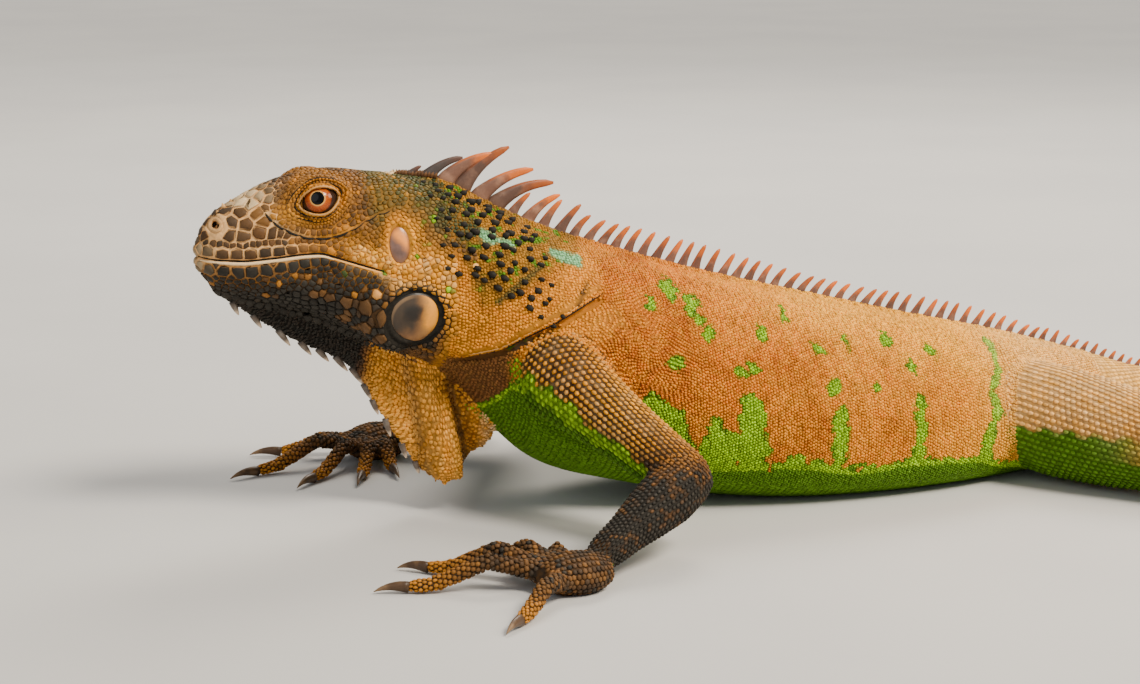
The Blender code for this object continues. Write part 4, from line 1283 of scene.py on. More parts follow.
def part_of(points):
    """Which part of the animal each point of the hide belongs to."""
    s, y, z = points.T
    part = np.where(s < 91.6, "head", "body").astype("U8")
    bottom = body_row(s)[1]
    part[(z < bottom + 0.5) & (s < 122) & (np.abs(y) < 22)] = "dewlap"
    for name in LIMBS:
        path, radii = limb_shape(name)
        share, gap = along_stretch(points, path[0], path[-1])
        thick = np.interp(share, np.linspace(0, 1, len(radii)), radii.max(axis=1))
        part[gap < thick * 1.08 + 0.5] = "arm" if "arm" in name else "leg"
    for name, (_, palm_radii, _, digits, _) in FEET.items():
        away = np.linalg.norm((points - palm_place(name)[0])[:, :2], axis=1)
        part[away < palm_radii[0] * 0.95] = "foot"
        for digit in range(len(digits)):
            path = digit_shape(name, digit)[0][0]
            for one, other in zip(path, path[1:]):
                part[along_stretch(points, one, other)[1] < DIGIT_RADIUS + 1.0] = "foot"
    return part


def build_hide(sizes, colours):
    """Fuses, refines, sculpts and marks the one skin, and keeps its surface for the scales."""
    mesh = fused_hide(sizes.coat_depth / MM, sizes.hide_grain)
    set_points(mesh, swell(points_of(mesh), back=True))
    refine(mesh, lambda p: (p[:, 0] < 93) & (p[:, 2] > 58) & (np.abs(p[:, 1]) < 34), 2)
    refine(mesh, near_eye, 1)
    points = sculpt_head(points_of(mesh), ways_of(mesh))
    set_points(mesh, points)
    points = sculpt_body(points, ways_of(mesh))
    points = sculpt_eyes(points)
    set_points(mesh, points)
    bm = bmesh.new()
    bm.from_mesh(mesh)
    bmesh.ops.triangulate(bm, faces=bm.faces)
    bm.to_mesh(mesh)
    bm.free()
    points, ways = points_of(mesh), ways_of(mesh)
    part = part_of(points)
    marks, extra = np.zeros((len(points), 4)), np.zeros((len(points), 4))
    for kind in MARKERS:
        which = part == kind
        marks[which], extra[which] = markings(points[which], ways[which], kind)
    seam_light(points, part, marks, extra)
    # The hide between the arm's scales is made near black: partly its dark skin, partly painted shade
    # between the scales.
    marks[part == "arm", 2] = np.maximum(marks[part == "arm", 2], 0.9 - 0.6 * marks[part == "arm", 1])
    set_marks(mesh, "marks", marks)
    set_marks(mesh, "marks2", extra)
    points = bend_tail(points)
    points[:, 2] = np.maximum(points[:, 2], FLOOR_GAP)
    set_points(mesh, points)
    corners = np.empty(len(mesh.polygons) * 3, np.int32)
    mesh.polygons.foreach_get("vertices", corners)
    MADE["corners"] = corners.reshape(-1, 3)
    MADE["points"], MADE["normals"] = points, ways_of(mesh)
    MADE["tree"] = BVHTree.FromPolygons(points.tolist(), MADE["corners"].tolist(), all_triangles=True)
    mesh.name = "hide"
    flesh = [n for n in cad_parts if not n.startswith(("claw", "eye", "jowl"))]
    finish_piece(mesh, hide_finish("hide_skin", colours, 0.42, 0.6), flesh)


def seam_light(points, part, marks, extra):
    """On the face the hide between the plates is pale; before the round scales it is black."""
    s, _, z = points.T
    face = (part == "head") & (z > 60)
    above = z - line_height(MOUTH, s)
    light = ramp(94, 70, s) * ramp(-15, -5, above) * face
    light *= 1 - 0.65 * ramp(50, 60, s) * ramp(104, 110, z)
    light *= 0.5 + 0.5 * ramp(-3, -0.5, above)
    light = np.where(eye_rings(s, z) < 2.2, 0.35 * light, light)
    jowl = np.hypot(s - JOWL[0], z - JOWL[2])
    black = ramp(46, 52, s) * ramp(95.5, 93.5, z) * ramp(17, 13, jowl) * face
    black = np.maximum(black, ramp(JOWL_RADIUS + 1.3, JOWL_RADIUS + 0.5, jowl) * face)
    light = light * (1 - black)
    marks[:, 2] = np.maximum(marks[:, 2] * (1 - 0.85 * light), black)
    marks[:, 3] = np.maximum(marks[:, 3], 0.75 * light)
    snout = ramp(46, 28, s) * (0.4 + 0.6 * ramp(-1, 2, above)) * ramp(-9, -5, above)
    extra[:, 0] = np.maximum(extra[:, 0], light * (0.05 + 0.45 * snout))
    extra[:, 2] = 0.75 * light * (0.6 + 0.4 * ramp(44, 26, s))


# ---------------------------------------------------------------- scales in rows


def seat_scales(place, out, lie, size, unwrap, straight, part, seed, reach=1.6):
    """Seats for one region's scales, each dropped onto the hide and marked."""
    place, ways, lie, chosen = on_hide(place, out, lie, reach)
    marks, extra = markings(straight[chosen], ways, part, seed)
    return Seats(place, ways, lie, size[chosen], unwrap[chosen], marks, extra)


def jitter(size, amount, seed):
    """Sizes made a little uneven."""
    return size * (1 + amount * (np.random.default_rng(seed).random(size.shape) * 2 - 1))


def shoulder_swirl(s, turn):
    """Winds the rows of scales round a place behind each shoulder."""
    girth = 300.0  # of the body there
    centre, below, reach = 158, 60, 13  # where the place is, how far below the back, how wide
    side = np.where(turn > 0, 1, -1)
    along, down = s - centre, np.abs(turn) * girth - below
    angle = 1.5 * np.exp(-(np.hypot(along, down) / reach) ** 2)
    new_along = along * np.cos(angle) - down * np.sin(angle)
    new_turn = side * (along * np.sin(angle) + down * np.cos(angle) + below) / girth
    wound = angle > 0.01
    return np.where(wound, centre + new_along, s), np.where(wound, new_turn, turn)


def body_scales(start, end, low, high, along, across, size, seed, scatter=0.0):
    """Staggered rows round a length of the body, between two turns."""
    rng = np.random.default_rng(seed)
    dense = np.linspace(low, high, 161)
    s_all, turn_all = [], []
    rows = max(1, round((end - start) / along))
    for row in range(rows):
        s = start + (row + 0.5) * (end - start) / rows
        ring = body_at(np.full(161, s), dense)
        arc = np.r_[0, np.cumsum(np.linalg.norm(np.diff(ring, axis=0), axis=1))]
        count = max(5, round(arc[-1] / across))
        places = (np.arange(count) + (0.75 if row % 2 else 0.25)) * arc[-1] / count
        turn_all.append(np.interp(places, arc, dense))
        s_all.append(np.full(count, s))
    s, turn = np.concatenate(s_all), np.concatenate(turn_all)
    s = s + scatter * along * (rng.random(len(s)) - 0.5)
    turn = turn + scatter * (high - low) / 200 * (rng.random(len(s)) - 0.5)
    unwrap = np.stack([(s - start) / (end - start), (turn - low) / (high - low)], axis=-1)
    s, turn = shoulder_swirl(s, turn)
    place, out, lie = body_surface(s, turn)
    sizes = jitter(np.tile(np.array(size), (len(s), 1)), 0.10, seed + 1)
    reach = 4.0 if end < 160 else 1.8
    straight = body_at(s, turn)
    return seat_scales(place, out, lie, sizes, in_margins(unwrap), straight, "body", seed, reach)


def tube_scales(
    shape, along, across, size, part, seed, tile, span=(0.0, 1.0), twist=0.0, round_root=0.0, ringed=False
):
    """Rows down a limb or digit, along and across apart.

    tile is its cell of the unwrap, (column, row, cells across), twist how far the rows wind,
    round_root how much rounder the scales are by its root, and ringed rows go round it.
    """
    length = float(np.linalg.norm(np.diff(shape[0], axis=0), axis=1).sum())
    radius = shape[1].mean()
    count = max(6, round(2 * math.pi * radius / across))
    rows = max(2, round(length * (span[1] - span[0]) / along))
    row, column = (a.ravel() for a in np.meshgrid(np.arange(rows), np.arange(count), indexing="ij"))
    at = span[0] + (row + 0.25 + 0.5 * (column % 2) * (not ringed)) / rows * (span[1] - span[0])
    turn = (column + 0.5 + 0.5 * (row % 2) * ringed) / count + twist * at
    place, out, lie = tube_at(shape, at, turn)
    girth = np.interp(at, np.linspace(0, 1, len(shape[1])), shape[1].mean(axis=1)) / radius
    sizes = np.tile(np.array(size), (len(at), 1))
    sizes[:, 1] *= girth
    rounder = round_root * ramp(0.42, 0.22, at)[:, None]
    sizes = jitter(sizes * (1 + np.array((-0.25, 0.10, 0.5)) * rounder), 0.08, seed)
    cell = 1 / tile[2]
    unwrap = np.stack([tile[0] + 0.03 + 0.94 * at, tile[1] + 0.03 + 0.94 * turn], axis=-1) * cell
    return seat_scales(place, out, lie, sizes, unwrap, place, part, seed)


def build_body_scales(sizes):
    """Granular scales on the flanks, larger ones on the belly, whorls of keeled ones on the tail."""
    grain = sizes.flank_scale / MM
    bead, bead_size = bead_shape(0.66), (grain * 1.12, grain * 1.02, 0.52)
    for side, (low, high) in {"left": (0.0, 0.365), "right": (-0.365, 0.0)}.items():
        fore = body_scales(150, 262, low, high, grain * 0.88, grain, bead_size, 21, 0.5)
        finish_scales("flank_scales_fore_" + side, bead, fore)
        hind = body_scales(262, 372, low, high, grain * 0.92, grain * 1.05, bead_size, 22, 0.5)
        finish_scales("flank_scales_hind_" + side, bead, hind)
    belly = body_scales(122, 372, 0.365, 0.635, 2.2, 1.9, (2.5, 1.9, 0.42), 23, 0.1)
    finish_scales("belly_scales", bead_shape(0.74, 0.25, 0.08), belly)
    neck = body_scales(84, 150, -0.5, 0.5, 1.2, 1.3, (1.50, 1.36, 0.36), 24, 0.5)
    keep = ~on_head(neck.place) & ((neck.place[:, 0] > 91) | (neck.place[:, 2] > 66))
    finish_scales("neck_scales", bead, Seats(*(field[keep] for field in neck)))
    tail = [
        body_scales(372, 560, 0, 1, 2.1, 2.0, (2.7, 1.9, 0.55), 25, 0.1),
        body_scales(560, 860, 0, 1, 2.5, 2.1, (3.2, 2.0, 0.50), 26, 0.05),
        body_scales(860, 1249, 0, 1, 2.7, 2.0, (3.4, 1.9, 0.42), 27, 0.05),
    ]
    for seats, (first, last) in zip(tail, ((0, 0.33), (0.33, 0.66), (0.66, 1.0))):
        seats.unwrap[:, 0] = first + seats.unwrap[:, 0] * (last - first)
    finish_scales("tail_scales", keel_shape(), join_seats(tail))


def cones_on_body(s, turn, size, first, part, seed):
    """Seats on the body; first is where their unwrap starts."""
    place, out, lie = body_surface(s, turn)
    unwrap = np.stack([(s - first) / 60, turn + 0.5], axis=-1)
    return seat_scales(place, out, lie, size, unwrap, place, part, seed)


def build_neck_tubercles():
    """Rows of dark conical tubercles on the neck, and the small spikes before the crest."""
    row, step = (a.ravel() for a in np.meshgrid(np.arange(9), np.arange(9), indexing="ij"))
    s, turn = 86 + step * 4.9 + (row % 2) * 2.4 + row * 0.4, 0.045 + row * 0.0205
    rng = np.random.default_rng(5)
    s, turn = s + rng.normal(0, 0.7, len(s)), turn + rng.normal(0, 0.003, len(s))
    s, turn = np.r_[s, s + 1.1], np.r_[turn, -turn]
    high = jitter(np.tile(np.array((3.9, 3.0, 2.4)), (len(s), 1)), 0.2, 6)
    high *= (0.65 + 0.35 * ramp(86, 100, s) * ramp(132, 120, s))[:, None]
    seats = cones_on_body(s, turn, high, 80, "body", 7)
    seats.marks[:], seats.extra[:] = (0.0, 0.0, 1.0, 0.0), 0
    s = np.r_[np.linspace(75, 92, 15), np.linspace(76, 91, 13), np.linspace(76, 91, 13)]
    turn = np.r_[np.zeros(15), np.full(13, 0.012), np.full(13, -0.012)]
    size = np.stack([1.7 + (s - 75) * 0.03, 1.2 + 0 * s, 1.5 + (s - 75) * 0.10], axis=-1)
    crown = cones_on_body(s, turn, size, 70, "head", 8)
    crown.marks[:] = (0.15, 0.05, 0.86, 0.15)
    size = np.array([(1.8, 1.6, 1.4), (2.2, 1.9, 2.6), (1.9, 1.7, 1.6)])
    snout = cones_on_body(
        np.array([8.0, 10.5, 13.5]), np.array([0.03, 0.018, 0.0]), size, -2, "head", 9
    )
    snout.marks[:], snout.extra[:, 0] = (0.5, 0.0, 0.35, 0.2), 0.35
    finish_scales("neck_tubercles", cone_shape(), join_seats([seats, crown, snout]))


def build_limb_scales(sizes):
    """Keeled scales in slanting rows down the arms and legs, and rings of them round each digit."""
    keel, flat = keel_shape(), bead_shape(0.7, 0.3, 0.10)
    pitch = sizes.limb_scale / MM
    # Each length of a limb: how close its scales are, and how round those by its root.
    lengths = {
        "foreleg_scales_": ("arm", ("upper_arm_", 1.0, 1.0), ("forearm_", 0.82, 0.0)),
        "hindleg_scales_": ("leg", ("thigh_", 1.0, -0.9), ("shin_", 1.0, 0.0)),
    }
    for side in SIDES:
        for piece, (part, *kinds) in lengths.items():
            groups = []
            for i, (kind, close, round_root) in enumerate(kinds):
                step = pitch * close
                size = (step * 1.34, step * 0.69, step * 0.34)
                seats = tube_scales(
                    limb_shape(kind + side), step * 1.06, step * 0.84, size, part, 31 + i, (i, 0, 2),
                    twist=0.06 * SIDES[side], round_root=round_root,
                )
                groups.append(seats)
            finish_scales(piece + side, keel, join_seats(groups), "limb_material")
    for name, (_, palm_radii, _, digits, _) in FEET.items():
        groups = []
        for digit in range(len(digits)):
            shape, _ = digit_shape(name, digit)
            size, tile = (2.15, 2.1, 0.62), (digit % 3, digit // 3, 3)
            seats = tube_scales(
                shape, 1.75, 2.25, size, "foot", 41 + digit, tile, (0.1, 1.0), ringed=True
            )
            tip = ramp(0.45, 0.95, seats.unwrap[:, 0] * 3 - tile[0])
            seats.marks[:, 3] += 0.5 * tip
            seats.marks[:, 2] *= 1 - 0.55 * tip
            groups.append(seats)
        centre, ahead = palm_place(name)
        palm_path = [centre + ahead * palm_radii[0] * t for t in (-0.85, -0.5, 0, 0.5, 0.85)]
        thick = [(palm_radii[1] * w, palm_radii[2] * w) for w in (0.52, 0.86, 1, 0.86, 0.52)]
        shape = tube(palm_path, thick, (False, False))
        groups.append(tube_scales(shape, 1.8, 2.1, (2.3, 2.0, 0.6), "foot", 47, (2, 1, 3)))
        finish_scales(name + "_scales", flat, join_seats(groups), "limb_material")


def build_dewlap_scales():
    """Small pebbled scales over both faces of the dewlap."""
    pitch = 1.45
    columns, rows = round(130 / pitch), round(118 / pitch)
    grid = np.meshgrid(np.arange(columns), np.arange(rows), indexing="ij")
    column, row = (a.ravel() for a in grid)
    chance = np.random.default_rng(50).random((2, len(row))) - 0.5
    along = np.clip((column + 0.5 * (row % 2) + 0.25 + 0.55 * chance[0]) / columns, 0, 1)
    turn = (row + 0.5 + 0.55 * chance[1]) / rows
    down = 0.5 - 0.5 * np.cos(2 * math.pi * turn)
    place = dewlap_wall(along, turn)
    step = 0.004
    ahead = dewlap_wall(np.clip(along + step, 0, 1), turn)
    ahead -= dewlap_wall(np.clip(along - step, 0, 1), turn)
    lower = dewlap_wall(along, turn + step) - dewlap_wall(along, turn - step)
    out = unit(np.cross(ahead, lower))
    inward = np.einsum("ij,ij->i", out, place - dewlap_at(along, down)) < 0
    out = np.where(inward[:, None], -out, out)
    lie = unit(lower * np.where(turn < 0.5, 1, -1)[:, None])
    width = np.linalg.norm(lower, axis=1) / (2 * step) / rows
    length = np.linalg.norm(ahead, axis=1) / (2 * step) / columns
    long, wide = np.clip(width, 0.9, 2.4) * 1.05, np.clip(length, 0.8, 2.2) * 1.02
    size = np.stack([long, wide, 0 * width + 0.5], axis=-1)
    size *= 1 - np.array((0.35, 0.35, 0.5)) * ramp(0.88, 0.98, down)[:, None]
    keep = (width > 0.35) & (length > 0.3)
    unwrap = in_margins(np.stack([along, turn], axis=-1))
    fields = (place, out, lie, jitter(size, 0.1, 51), unwrap)
    place, out, lie, size, unwrap = (field[keep] for field in fields)
    seats = seat_scales(place, out, lie, size, unwrap, place, "dewlap", 52)
    finish_scales("dewlap_scales", bead_shape(0.66), seats)


# ---------------------------------------------------------------- plates of the head


def seat_in_side_view(s, z, sign):
    """The point of the hide's side that a place in side view falls on, or None."""
    start = Vector((s, sign * 60.0, z))
    hit, _, _, _ = MADE["tree"].ray_cast(start, Vector((0, -sign, 0)), 60)
    return hit


def ring_places(centre, radii, count, turn=0.0):
    """Places round an ellipse in side view."""
    angles = 2 * math.pi * (np.arange(count) + turn) / count
    return [(centre[0] + radii[0] * math.cos(a), centre[-1] + radii[1] * math.sin(a)) for a in angles]


def eye_ring_places(rings, count, turn=0.0):
    """Places round the eye's opening, rings times as far out as its edge."""
    places = []
    for s, z in ring_places(EYE_OPENING, (1, 1), count, turn):
        reach = rings / float(eye_rings(s, z))
        places.append(tuple(EYE_OPENING + (np.array((s, z)) - EYE_OPENING) * reach))
    return places


def line_places(table, step):
    """Evenly spaced places along a line in side view."""
    table = np.array(table, float)
    lengths = np.r_[0, np.cumsum(np.linalg.norm(np.diff(table, axis=0), axis=1))]
    at = np.linspace(0, lengths[-1], max(2, round(lengths[-1] / step)) + 1)
    return [tuple(np.interp(a, lengths, table[:, c]) for c in range(2)) for a in at]


# The crease under the eye, in side view; the dark strips along it are painted shade.
UNDER_EYE = ((24.5, 119.5), (27, 116.5), (31, 113.8), (36, 111.6), (42, 110.4), (48, 110.7), (54, 112.9))
UNDER_EYE += ((60, 116.2), (65, 118.6), (70, 119.8))


def chosen_plates():
    """Plates with a place of their own: (point, half width, shown, how far a cell reaches)."""
    plates = []

    def put(s, z, half, shown=True, reach=1.5):
        plates.append((s, z, half, shown, reach))

    for mark in JOWL_DARK + JOWL_PALE:
        put(*mark)
    for s in np.arange(1.0, 66, 1.3):
        put(s, line_height(MOUTH, s) - 0.4, 0.62, False)
    s = 3.2
    while s < 58:
        half = 2.45 - 1.2 * ramp(20, 54, s)
        put(s, line_height(MOUTH, s) + 0.6 + half * 0.9, half)
        put(s + 0.4, line_height(MOUTH, s) - 1.5 - half, half * 1.05)
        s += half * 2.05
    for s in np.arange(3.0, 60, 2.3):
        put(s, line_height(MOUTH, s) + 6.1 - 2.0 * ramp(20, 56, s), 1.05)
    for row, offset in enumerate((-6.0, -4.6, -3.2, -1.8, 1.4, 2.8, 4.2, 5.6)):
        start = 66 - 1.8 * row if offset < 0 else 50 + 1.2 * (row - 4)
        for s in np.arange(start + 1.8 * (row % 2), 88, 3.6):
            put(s, line_height(FAN_LINE, s) + offset, 0.8, reach=3.0)
    edges = (
        (ring_places(NOSTRIL, (3.3, 3.3), 14), 0.6),
        (ring_places(EAR, EAR_RADII, 30), 0.6),
        (ring_places(JOWL, (JOWL_RADIUS + 0.4,) * 2, 64), 0.55),
        (line_places(UNDER_EYE, 1.1), 0.5),
    )
    for places, half in edges:
        for place in places:
            put(*place, half, False)
    for s, z in line_places(UNDER_EYE, 4.0):
        put(s, z + 1.9, 1.15, reach=2.4)
    for ring in range(5):
        rings = 1.12 + ring * 0.215
        for place in eye_ring_places(rings, round(24.7 * rings), 0.5 * (ring % 2)):
            put(*place, 0.62)

    seeds = []
    for sign in SIDES.values():
        for s, z, *rest in plates:
            hit = seat_in_side_view(s, z, sign)
            if hit is not None:
                seeds.append((np.array(hit), *rest))
    return seeds


def on_head(points):
    """Where plates give way to the neck's beads, with a ragged border."""
    s, _, z = points.T
    ragged = 16 * (mottle(points, 6, 4) - 0.5) + 6 * (mottle(points, 3, 5) - 0.5)
    return s + ragged + 10 * ramp(75, 60, z) < 94 + 6 * ramp(100, 112, z)


def plate_half_width(points):
    """Half the width of the head's scales, from place to place."""
    s, _, z = points.T
    above = z - line_height(MOUTH, s)
    half = 1.15 - 0.25 * ramp(30, 38, s) * ramp(3, 6, above) - 0.12 * ramp(48, 56, s)
    half = half + 1.15 * ramp(32, 22, s) * ramp(4, 8, above)
    half = np.where((above < -5) & (s < 60), 1.08, half)
    half = np.where((above < -14) & (s < 66), 1.35, half)
    half = half - 0.12 * bump(s, 72, 12) * bump(z, 106, 12)
    half = half - 0.15 * ramp(84, 94, s)
    half = np.where(eye_rings(s, z) < 2.4, 0.8, half)
    return np.where(s < 4.5, 1.7, half)


def neighbour_tree(points):
    tree = KDTree(len(points))
    for i, point in enumerate(points):
        tree.insert(point, i)
    tree.balance()
    return tree


def free_plates(seeds):
    """Seeds over the rest of the head, as far apart as the scales there are wide."""
    points = MADE["points"]
    s, y, z = points.T
    bottom = body_row(s)[1]
    jowl = np.hypot(s - JOWL[0], z - JOWL[2])
    nostril = np.hypot(s - NOSTRIL[0], z - NOSTRIL[2])
    head = on_head(points) & (z > bottom - 1.5) & (z > 55)
    head &= (eye_rings(s, z) >= 1.0) | (np.abs(y) <= 10)
    head &= (ear_rings(s, z) >= 1.0) | (np.abs(y) <= 15)
    head &= (nostril > 3.2) | (np.abs(y) < 1.5)
    head &= (jowl >= JOWL_RADIUS + 0.6) | (np.abs(y) <= 15)
    index = np.flatnonzero(head)
    half = plate_half_width(points[index])
    tree = neighbour_tree(points[index])
    covered = np.zeros(len(index), bool)

    def cover(point, width):
        for _, i, distance in tree.find_range(point, width * 2.6 + 1.2):
            if distance < 0.86 * (width + half[i]):
                covered[i] = True

    for point, width, *_ in seeds:
        cover(point, width)
    order = np.argsort(-half + 0.25 * np.random.default_rng(3).random(len(index)))
    for i in order:
        if not covered[i]:
            seeds.append((points[index[i]], half[i], True, 1.5))
            cover(points[index[i]], half[i])
    return seeds


# The plates' profile: share of the width kept at each step up, and the height there.
PLATE_STEPS = ((0.93, 0.55), (0.80, 0.92))


def plate_cell(half, reach, neighbours, gap):
    """One plate and its points' heights: a disc cut back towards each neighbour, its edge bevelled."""
    bm = bmesh.new()
    bmesh.ops.create_circle(bm, cap_ends=True, segments=10, radius=half * reach)
    for direction, distance in neighbours:
        cut = Vector((*direction, 0))
        bmesh.ops.bisect_plane(
            bm, geom=bm.verts[:] + bm.edges[:] + bm.faces[:], plane_co=cut * (distance - gap),
            plane_no=cut, clear_outer=True, dist=0.01,
        )
    if not bm.faces:
        bm.free()
        return None
    bmesh.ops.dissolve_limit(bm, angle_limit=math.radians(8), verts=bm.verts, edges=bm.edges)
    heights, top = [0.0] * len(bm.verts), bm.faces[:]
    for step, (share, height) in enumerate(PLATE_STEPS):
        raised = bmesh.ops.extrude_face_region(bm, geom=top, use_keep_orig=step == 0)["geom"]
        top = [g for g in raised if isinstance(g, bmesh.types.BMFace)]
        verts = [g for g in raised if isinstance(g, bmesh.types.BMVert)]
        centre = sum((v.co for v in verts), Vector()) / len(verts)
        bmesh.ops.scale(bm, vec=(share, share, 1), space=Matrix.Translation(-centre), verts=verts)
        heights += [height] * len(verts)
    bmesh.ops.poke(bm, faces=top)
    heights.append(1.0)
    bm.verts.index_update()
    return bm, heights


def build_head_plates():
    """Plates, labials, ovals and beads of the head, each fitted between its neighbours."""
    seeds = free_plates(chosen_plates())
    places = np.array([seed[0] for seed in seeds])
    halves = np.array([seed[1] for seed in seeds])
    tree = neighbour_tree(places)
    out = unit(np.array([nearest_hide(place)[1] for place in places]))
    lie = unit(np.array((1.0, 0, 0)) - out * out[:, :1])
    across = np.cross(out, lie)
    marks, extra = markings(places, out, "head", 61)
    seam_marks, seam_extra = marks.copy(), extra.copy()
    seam_light(places, np.full(len(places), "head"), seam_marks, seam_extra)
    points, faces, mark_rows, extra_rows, unwraps = [], [], [], [], []
    for i, (place, half, shown, reach) in enumerate(seeds):
        if not shown:
            continue
        neighbours = []
        for other, k, _ in tree.find_range(place, half * reach + 3.2):
            away = np.array(other) - place
            if k == i or out[i] @ out[k] < 0.2:
                continue
            flat = np.array((away @ lie[i], away @ across[i]))
            size = np.linalg.norm(flat)
            if size > 1e-4:
                neighbours.append((flat / size, size * half / (half + halves[k])))
        gap = 0.11 + 0.13 * max(0.0, half - 1.0) * ramp(46, 26, place[0])
        made = plate_cell(half, reach, neighbours, gap)
        if made is None:
            continue
        bm, heights = made
        tall, base = 0.28 + 0.20 * half, len(points)
        round_head = math.atan2(place[1], place[2] - 90) / (2 * math.pi)
        root = np.array((place[0] / 95, 0.5 + round_head)) * 0.96 + 0.02
        for vert, height in zip(bm.verts, heights):
            hit, way = nearest_hide(place + lie[i] * vert.co.x + across[i] * vert.co.y)
            way = unit(way * 0.5 + out[i] * 0.5)
            points.append(hit + way * (height * tall - (0.12 if height == 0 else 0)))
            blend = min(1, height / 0.5)
            mark_rows.append(seam_marks[i] * (1 - blend) + marks[i] * blend)
            row = seam_extra[i] * (1 - blend) + extra[i] * blend
            row[2], row[3] = max(row[2], height), extra[i][3]
            extra_rows.append(row)
            unwraps.append(root + np.array((vert.co.x, vert.co.y)) / half * PATCH / 2)
        faces += [[base + v.index for v in face.verts] for face in bm.faces]
        bm.free()
    data = bpy.data.meshes.new("head_plates")
    data.from_pydata([tuple(p) for p in points], [], faces)
    set_marks(data, "marks", np.array(mark_rows))
    set_marks(data, "marks2", np.array(extra_rows))
    set_unwrap(data, np.array(unwraps))
    finish_piece(data, MADE["plate_material"])


# ---------------------------------------------------------------- lips, lids, creases


def settled(places, sign, lift):
    """A path on the hide through places in side view, softened, then raised by lift."""
    hits = (seat_in_side_view(s, z, sign) for s, z in places)
    path = np.array([np.array(hit) for hit in hits if hit is not None])
    for _ in range(3):
        path[1:-1] = path[1:-1] * 0.5 + (path[:-2] + path[2:]) * 0.25
    return path + unit(np.array([nearest_hide(point)[1] for point in path])) * lift


def strip_mesh(name, strips):
    """Thin rolls along paths: (path, radius at its middle, share left at its ends, markings)."""
    bm = bmesh.new()
    layers = [bm.verts.layers.float_color.new(layer) for layer in ("marks", "marks2")]
    for path, radius, ends, marks in strips:
        share = np.linspace(-1, 1, len(path))
        thick = radius * (ends + (1 - ends) * np.sqrt(np.maximum(1 - share**4, 0)))
        for vert in add_tube(bm, len(path) - 1, 8, (path, np.stack([thick, thick], axis=-1))):
            for layer, mark in zip(layers, marks):
                vert[layer] = mark
    return mesh_from(bm, name)


# What the strips are marked with: (tan, lime, soot, ochre) and (cream, mint, height, tone).
# The near-black mark is painted shade: it is laid in the mouth's slit, the grooves of the lids, the
# crease under the eye, under the neck's fold and in the nostrils.
RECESS_SHADE_MARK = ((0.0, 0.0, 1.0, 0.0), (0.0, 0.0, 0.35, 0.0))
PALE_MARK = ((0.5, 0.0, 0.0, 0.2), (0.92, 0.0, 1.0, 0.75))
RIM_MARK = ((0.4, 0.0, 0.35, 0.1), (0.40, 0.0, 1.0, 0.4))
# The fold mark is partly the orange of the lip's and the fold's skin, partly painted highlight along the
# edge of the neck's fold.
LIP_AND_LIT_FOLD_MARK = ((0.8, 0.0, 0.0, 0.5), (0.35, 0.0, 1.0, 0.6))
LID_MARK = ((0.4, 0.0, 0.25, 0.6), (0.25, 0.0, 1.0, 0.4))


def closed(places):
    return places + places[:1]


def face_strips():
    """Each strip in side view: its places, how high it lies, its radius, its ends and its marks."""
    mouth = [(s, float(line_height(MOUTH, s))) for s in np.arange(0.9, 66.5, 1.1)]
    yield [(s, z - 0.95) for s, z in mouth[:44]], 0.15, 0.68, 0.30, PALE_MARK
    yield [(s, z - 0.85) for s, z in mouth[41:]], 0.10, 0.46, 0.15, LIP_AND_LIT_FOLD_MARK
    # Painted shade: a near-black roll in the mouth's slit.
    yield [(s, z + 0.05) for s, z in mouth], 0.05, 0.40, 0.5, RECESS_SHADE_MARK
    yield closed(eye_ring_places(1.05, 56)), 0.05, 0.42, 0.9, LID_MARK
    # Painted shade in the grooves between the lid's folds, here and in the two broken rings below.
    yield closed(eye_ring_places(1.30, 56)), 0.12, 0.26, 0.4, RECESS_SHADE_MARK
    for rings, first, last in ((1.62, 3, 30), (1.60, 34, 52)):
        yield eye_ring_places(rings, 56)[first:last], 0.12, 0.26, 0.4, RECESS_SHADE_MARK
    # Painted shade in the crease under the eye.
    for (s1, z1), (s2, z2) in zip(UNDER_EYE, UNDER_EYE[1:]):
        sag = [
            (s1 + (s2 - s1) * t, z1 + (z2 - z1) * t - 0.7 * math.sin(math.pi * t))
            for t in np.linspace(-0.04, 0.96, 7)
        ]
        yield sag, 0.1, 0.48 if s1 < 50 else 0.26, 0.15, RECESS_SHADE_MARK
    # Painted shadow under the neck's fold.
    yield line_places(NECK_FOLD, 1.6), -0.1, 0.75, 0.5, RECESS_SHADE_MARK
    # Partly the fold's orange skin, partly painted highlight along its edge.
    yield [(s, z + 1.0) for s, z in line_places(NECK_FOLD[:5], 1.6)], -0.1, 0.42, 0.05, LIP_AND_LIT_FOLD_MARK
    yield closed(ring_places(NOSTRIL, (2.3, 2.5), 24)), 0.1, 0.9, 0.9, RIM_MARK
    # Painted shade in the nostril's opening.
    yield closed(ring_places(NOSTRIL, (0.8, 1.0), 12)), -0.3, 0.9, 0.9, RECESS_SHADE_MARK


def build_lips():
    """The pale lip, the dark line of the mouth, the rims of lids and nostrils, and dark creases; the dark
    rolls are painted shade, and the pale roll along the neck's fold is partly painted highlight.
    """
    strips = [
        (settled(places, sign, lift), *rest)
        for sign in SIDES.values()
        for places, lift, *rest in face_strips()
    ]
    finish_piece(strip_mesh("lips_and_creases", strips), MADE["plate_material"])


# ---------------------------------------------------------------- spines, claws, eyes


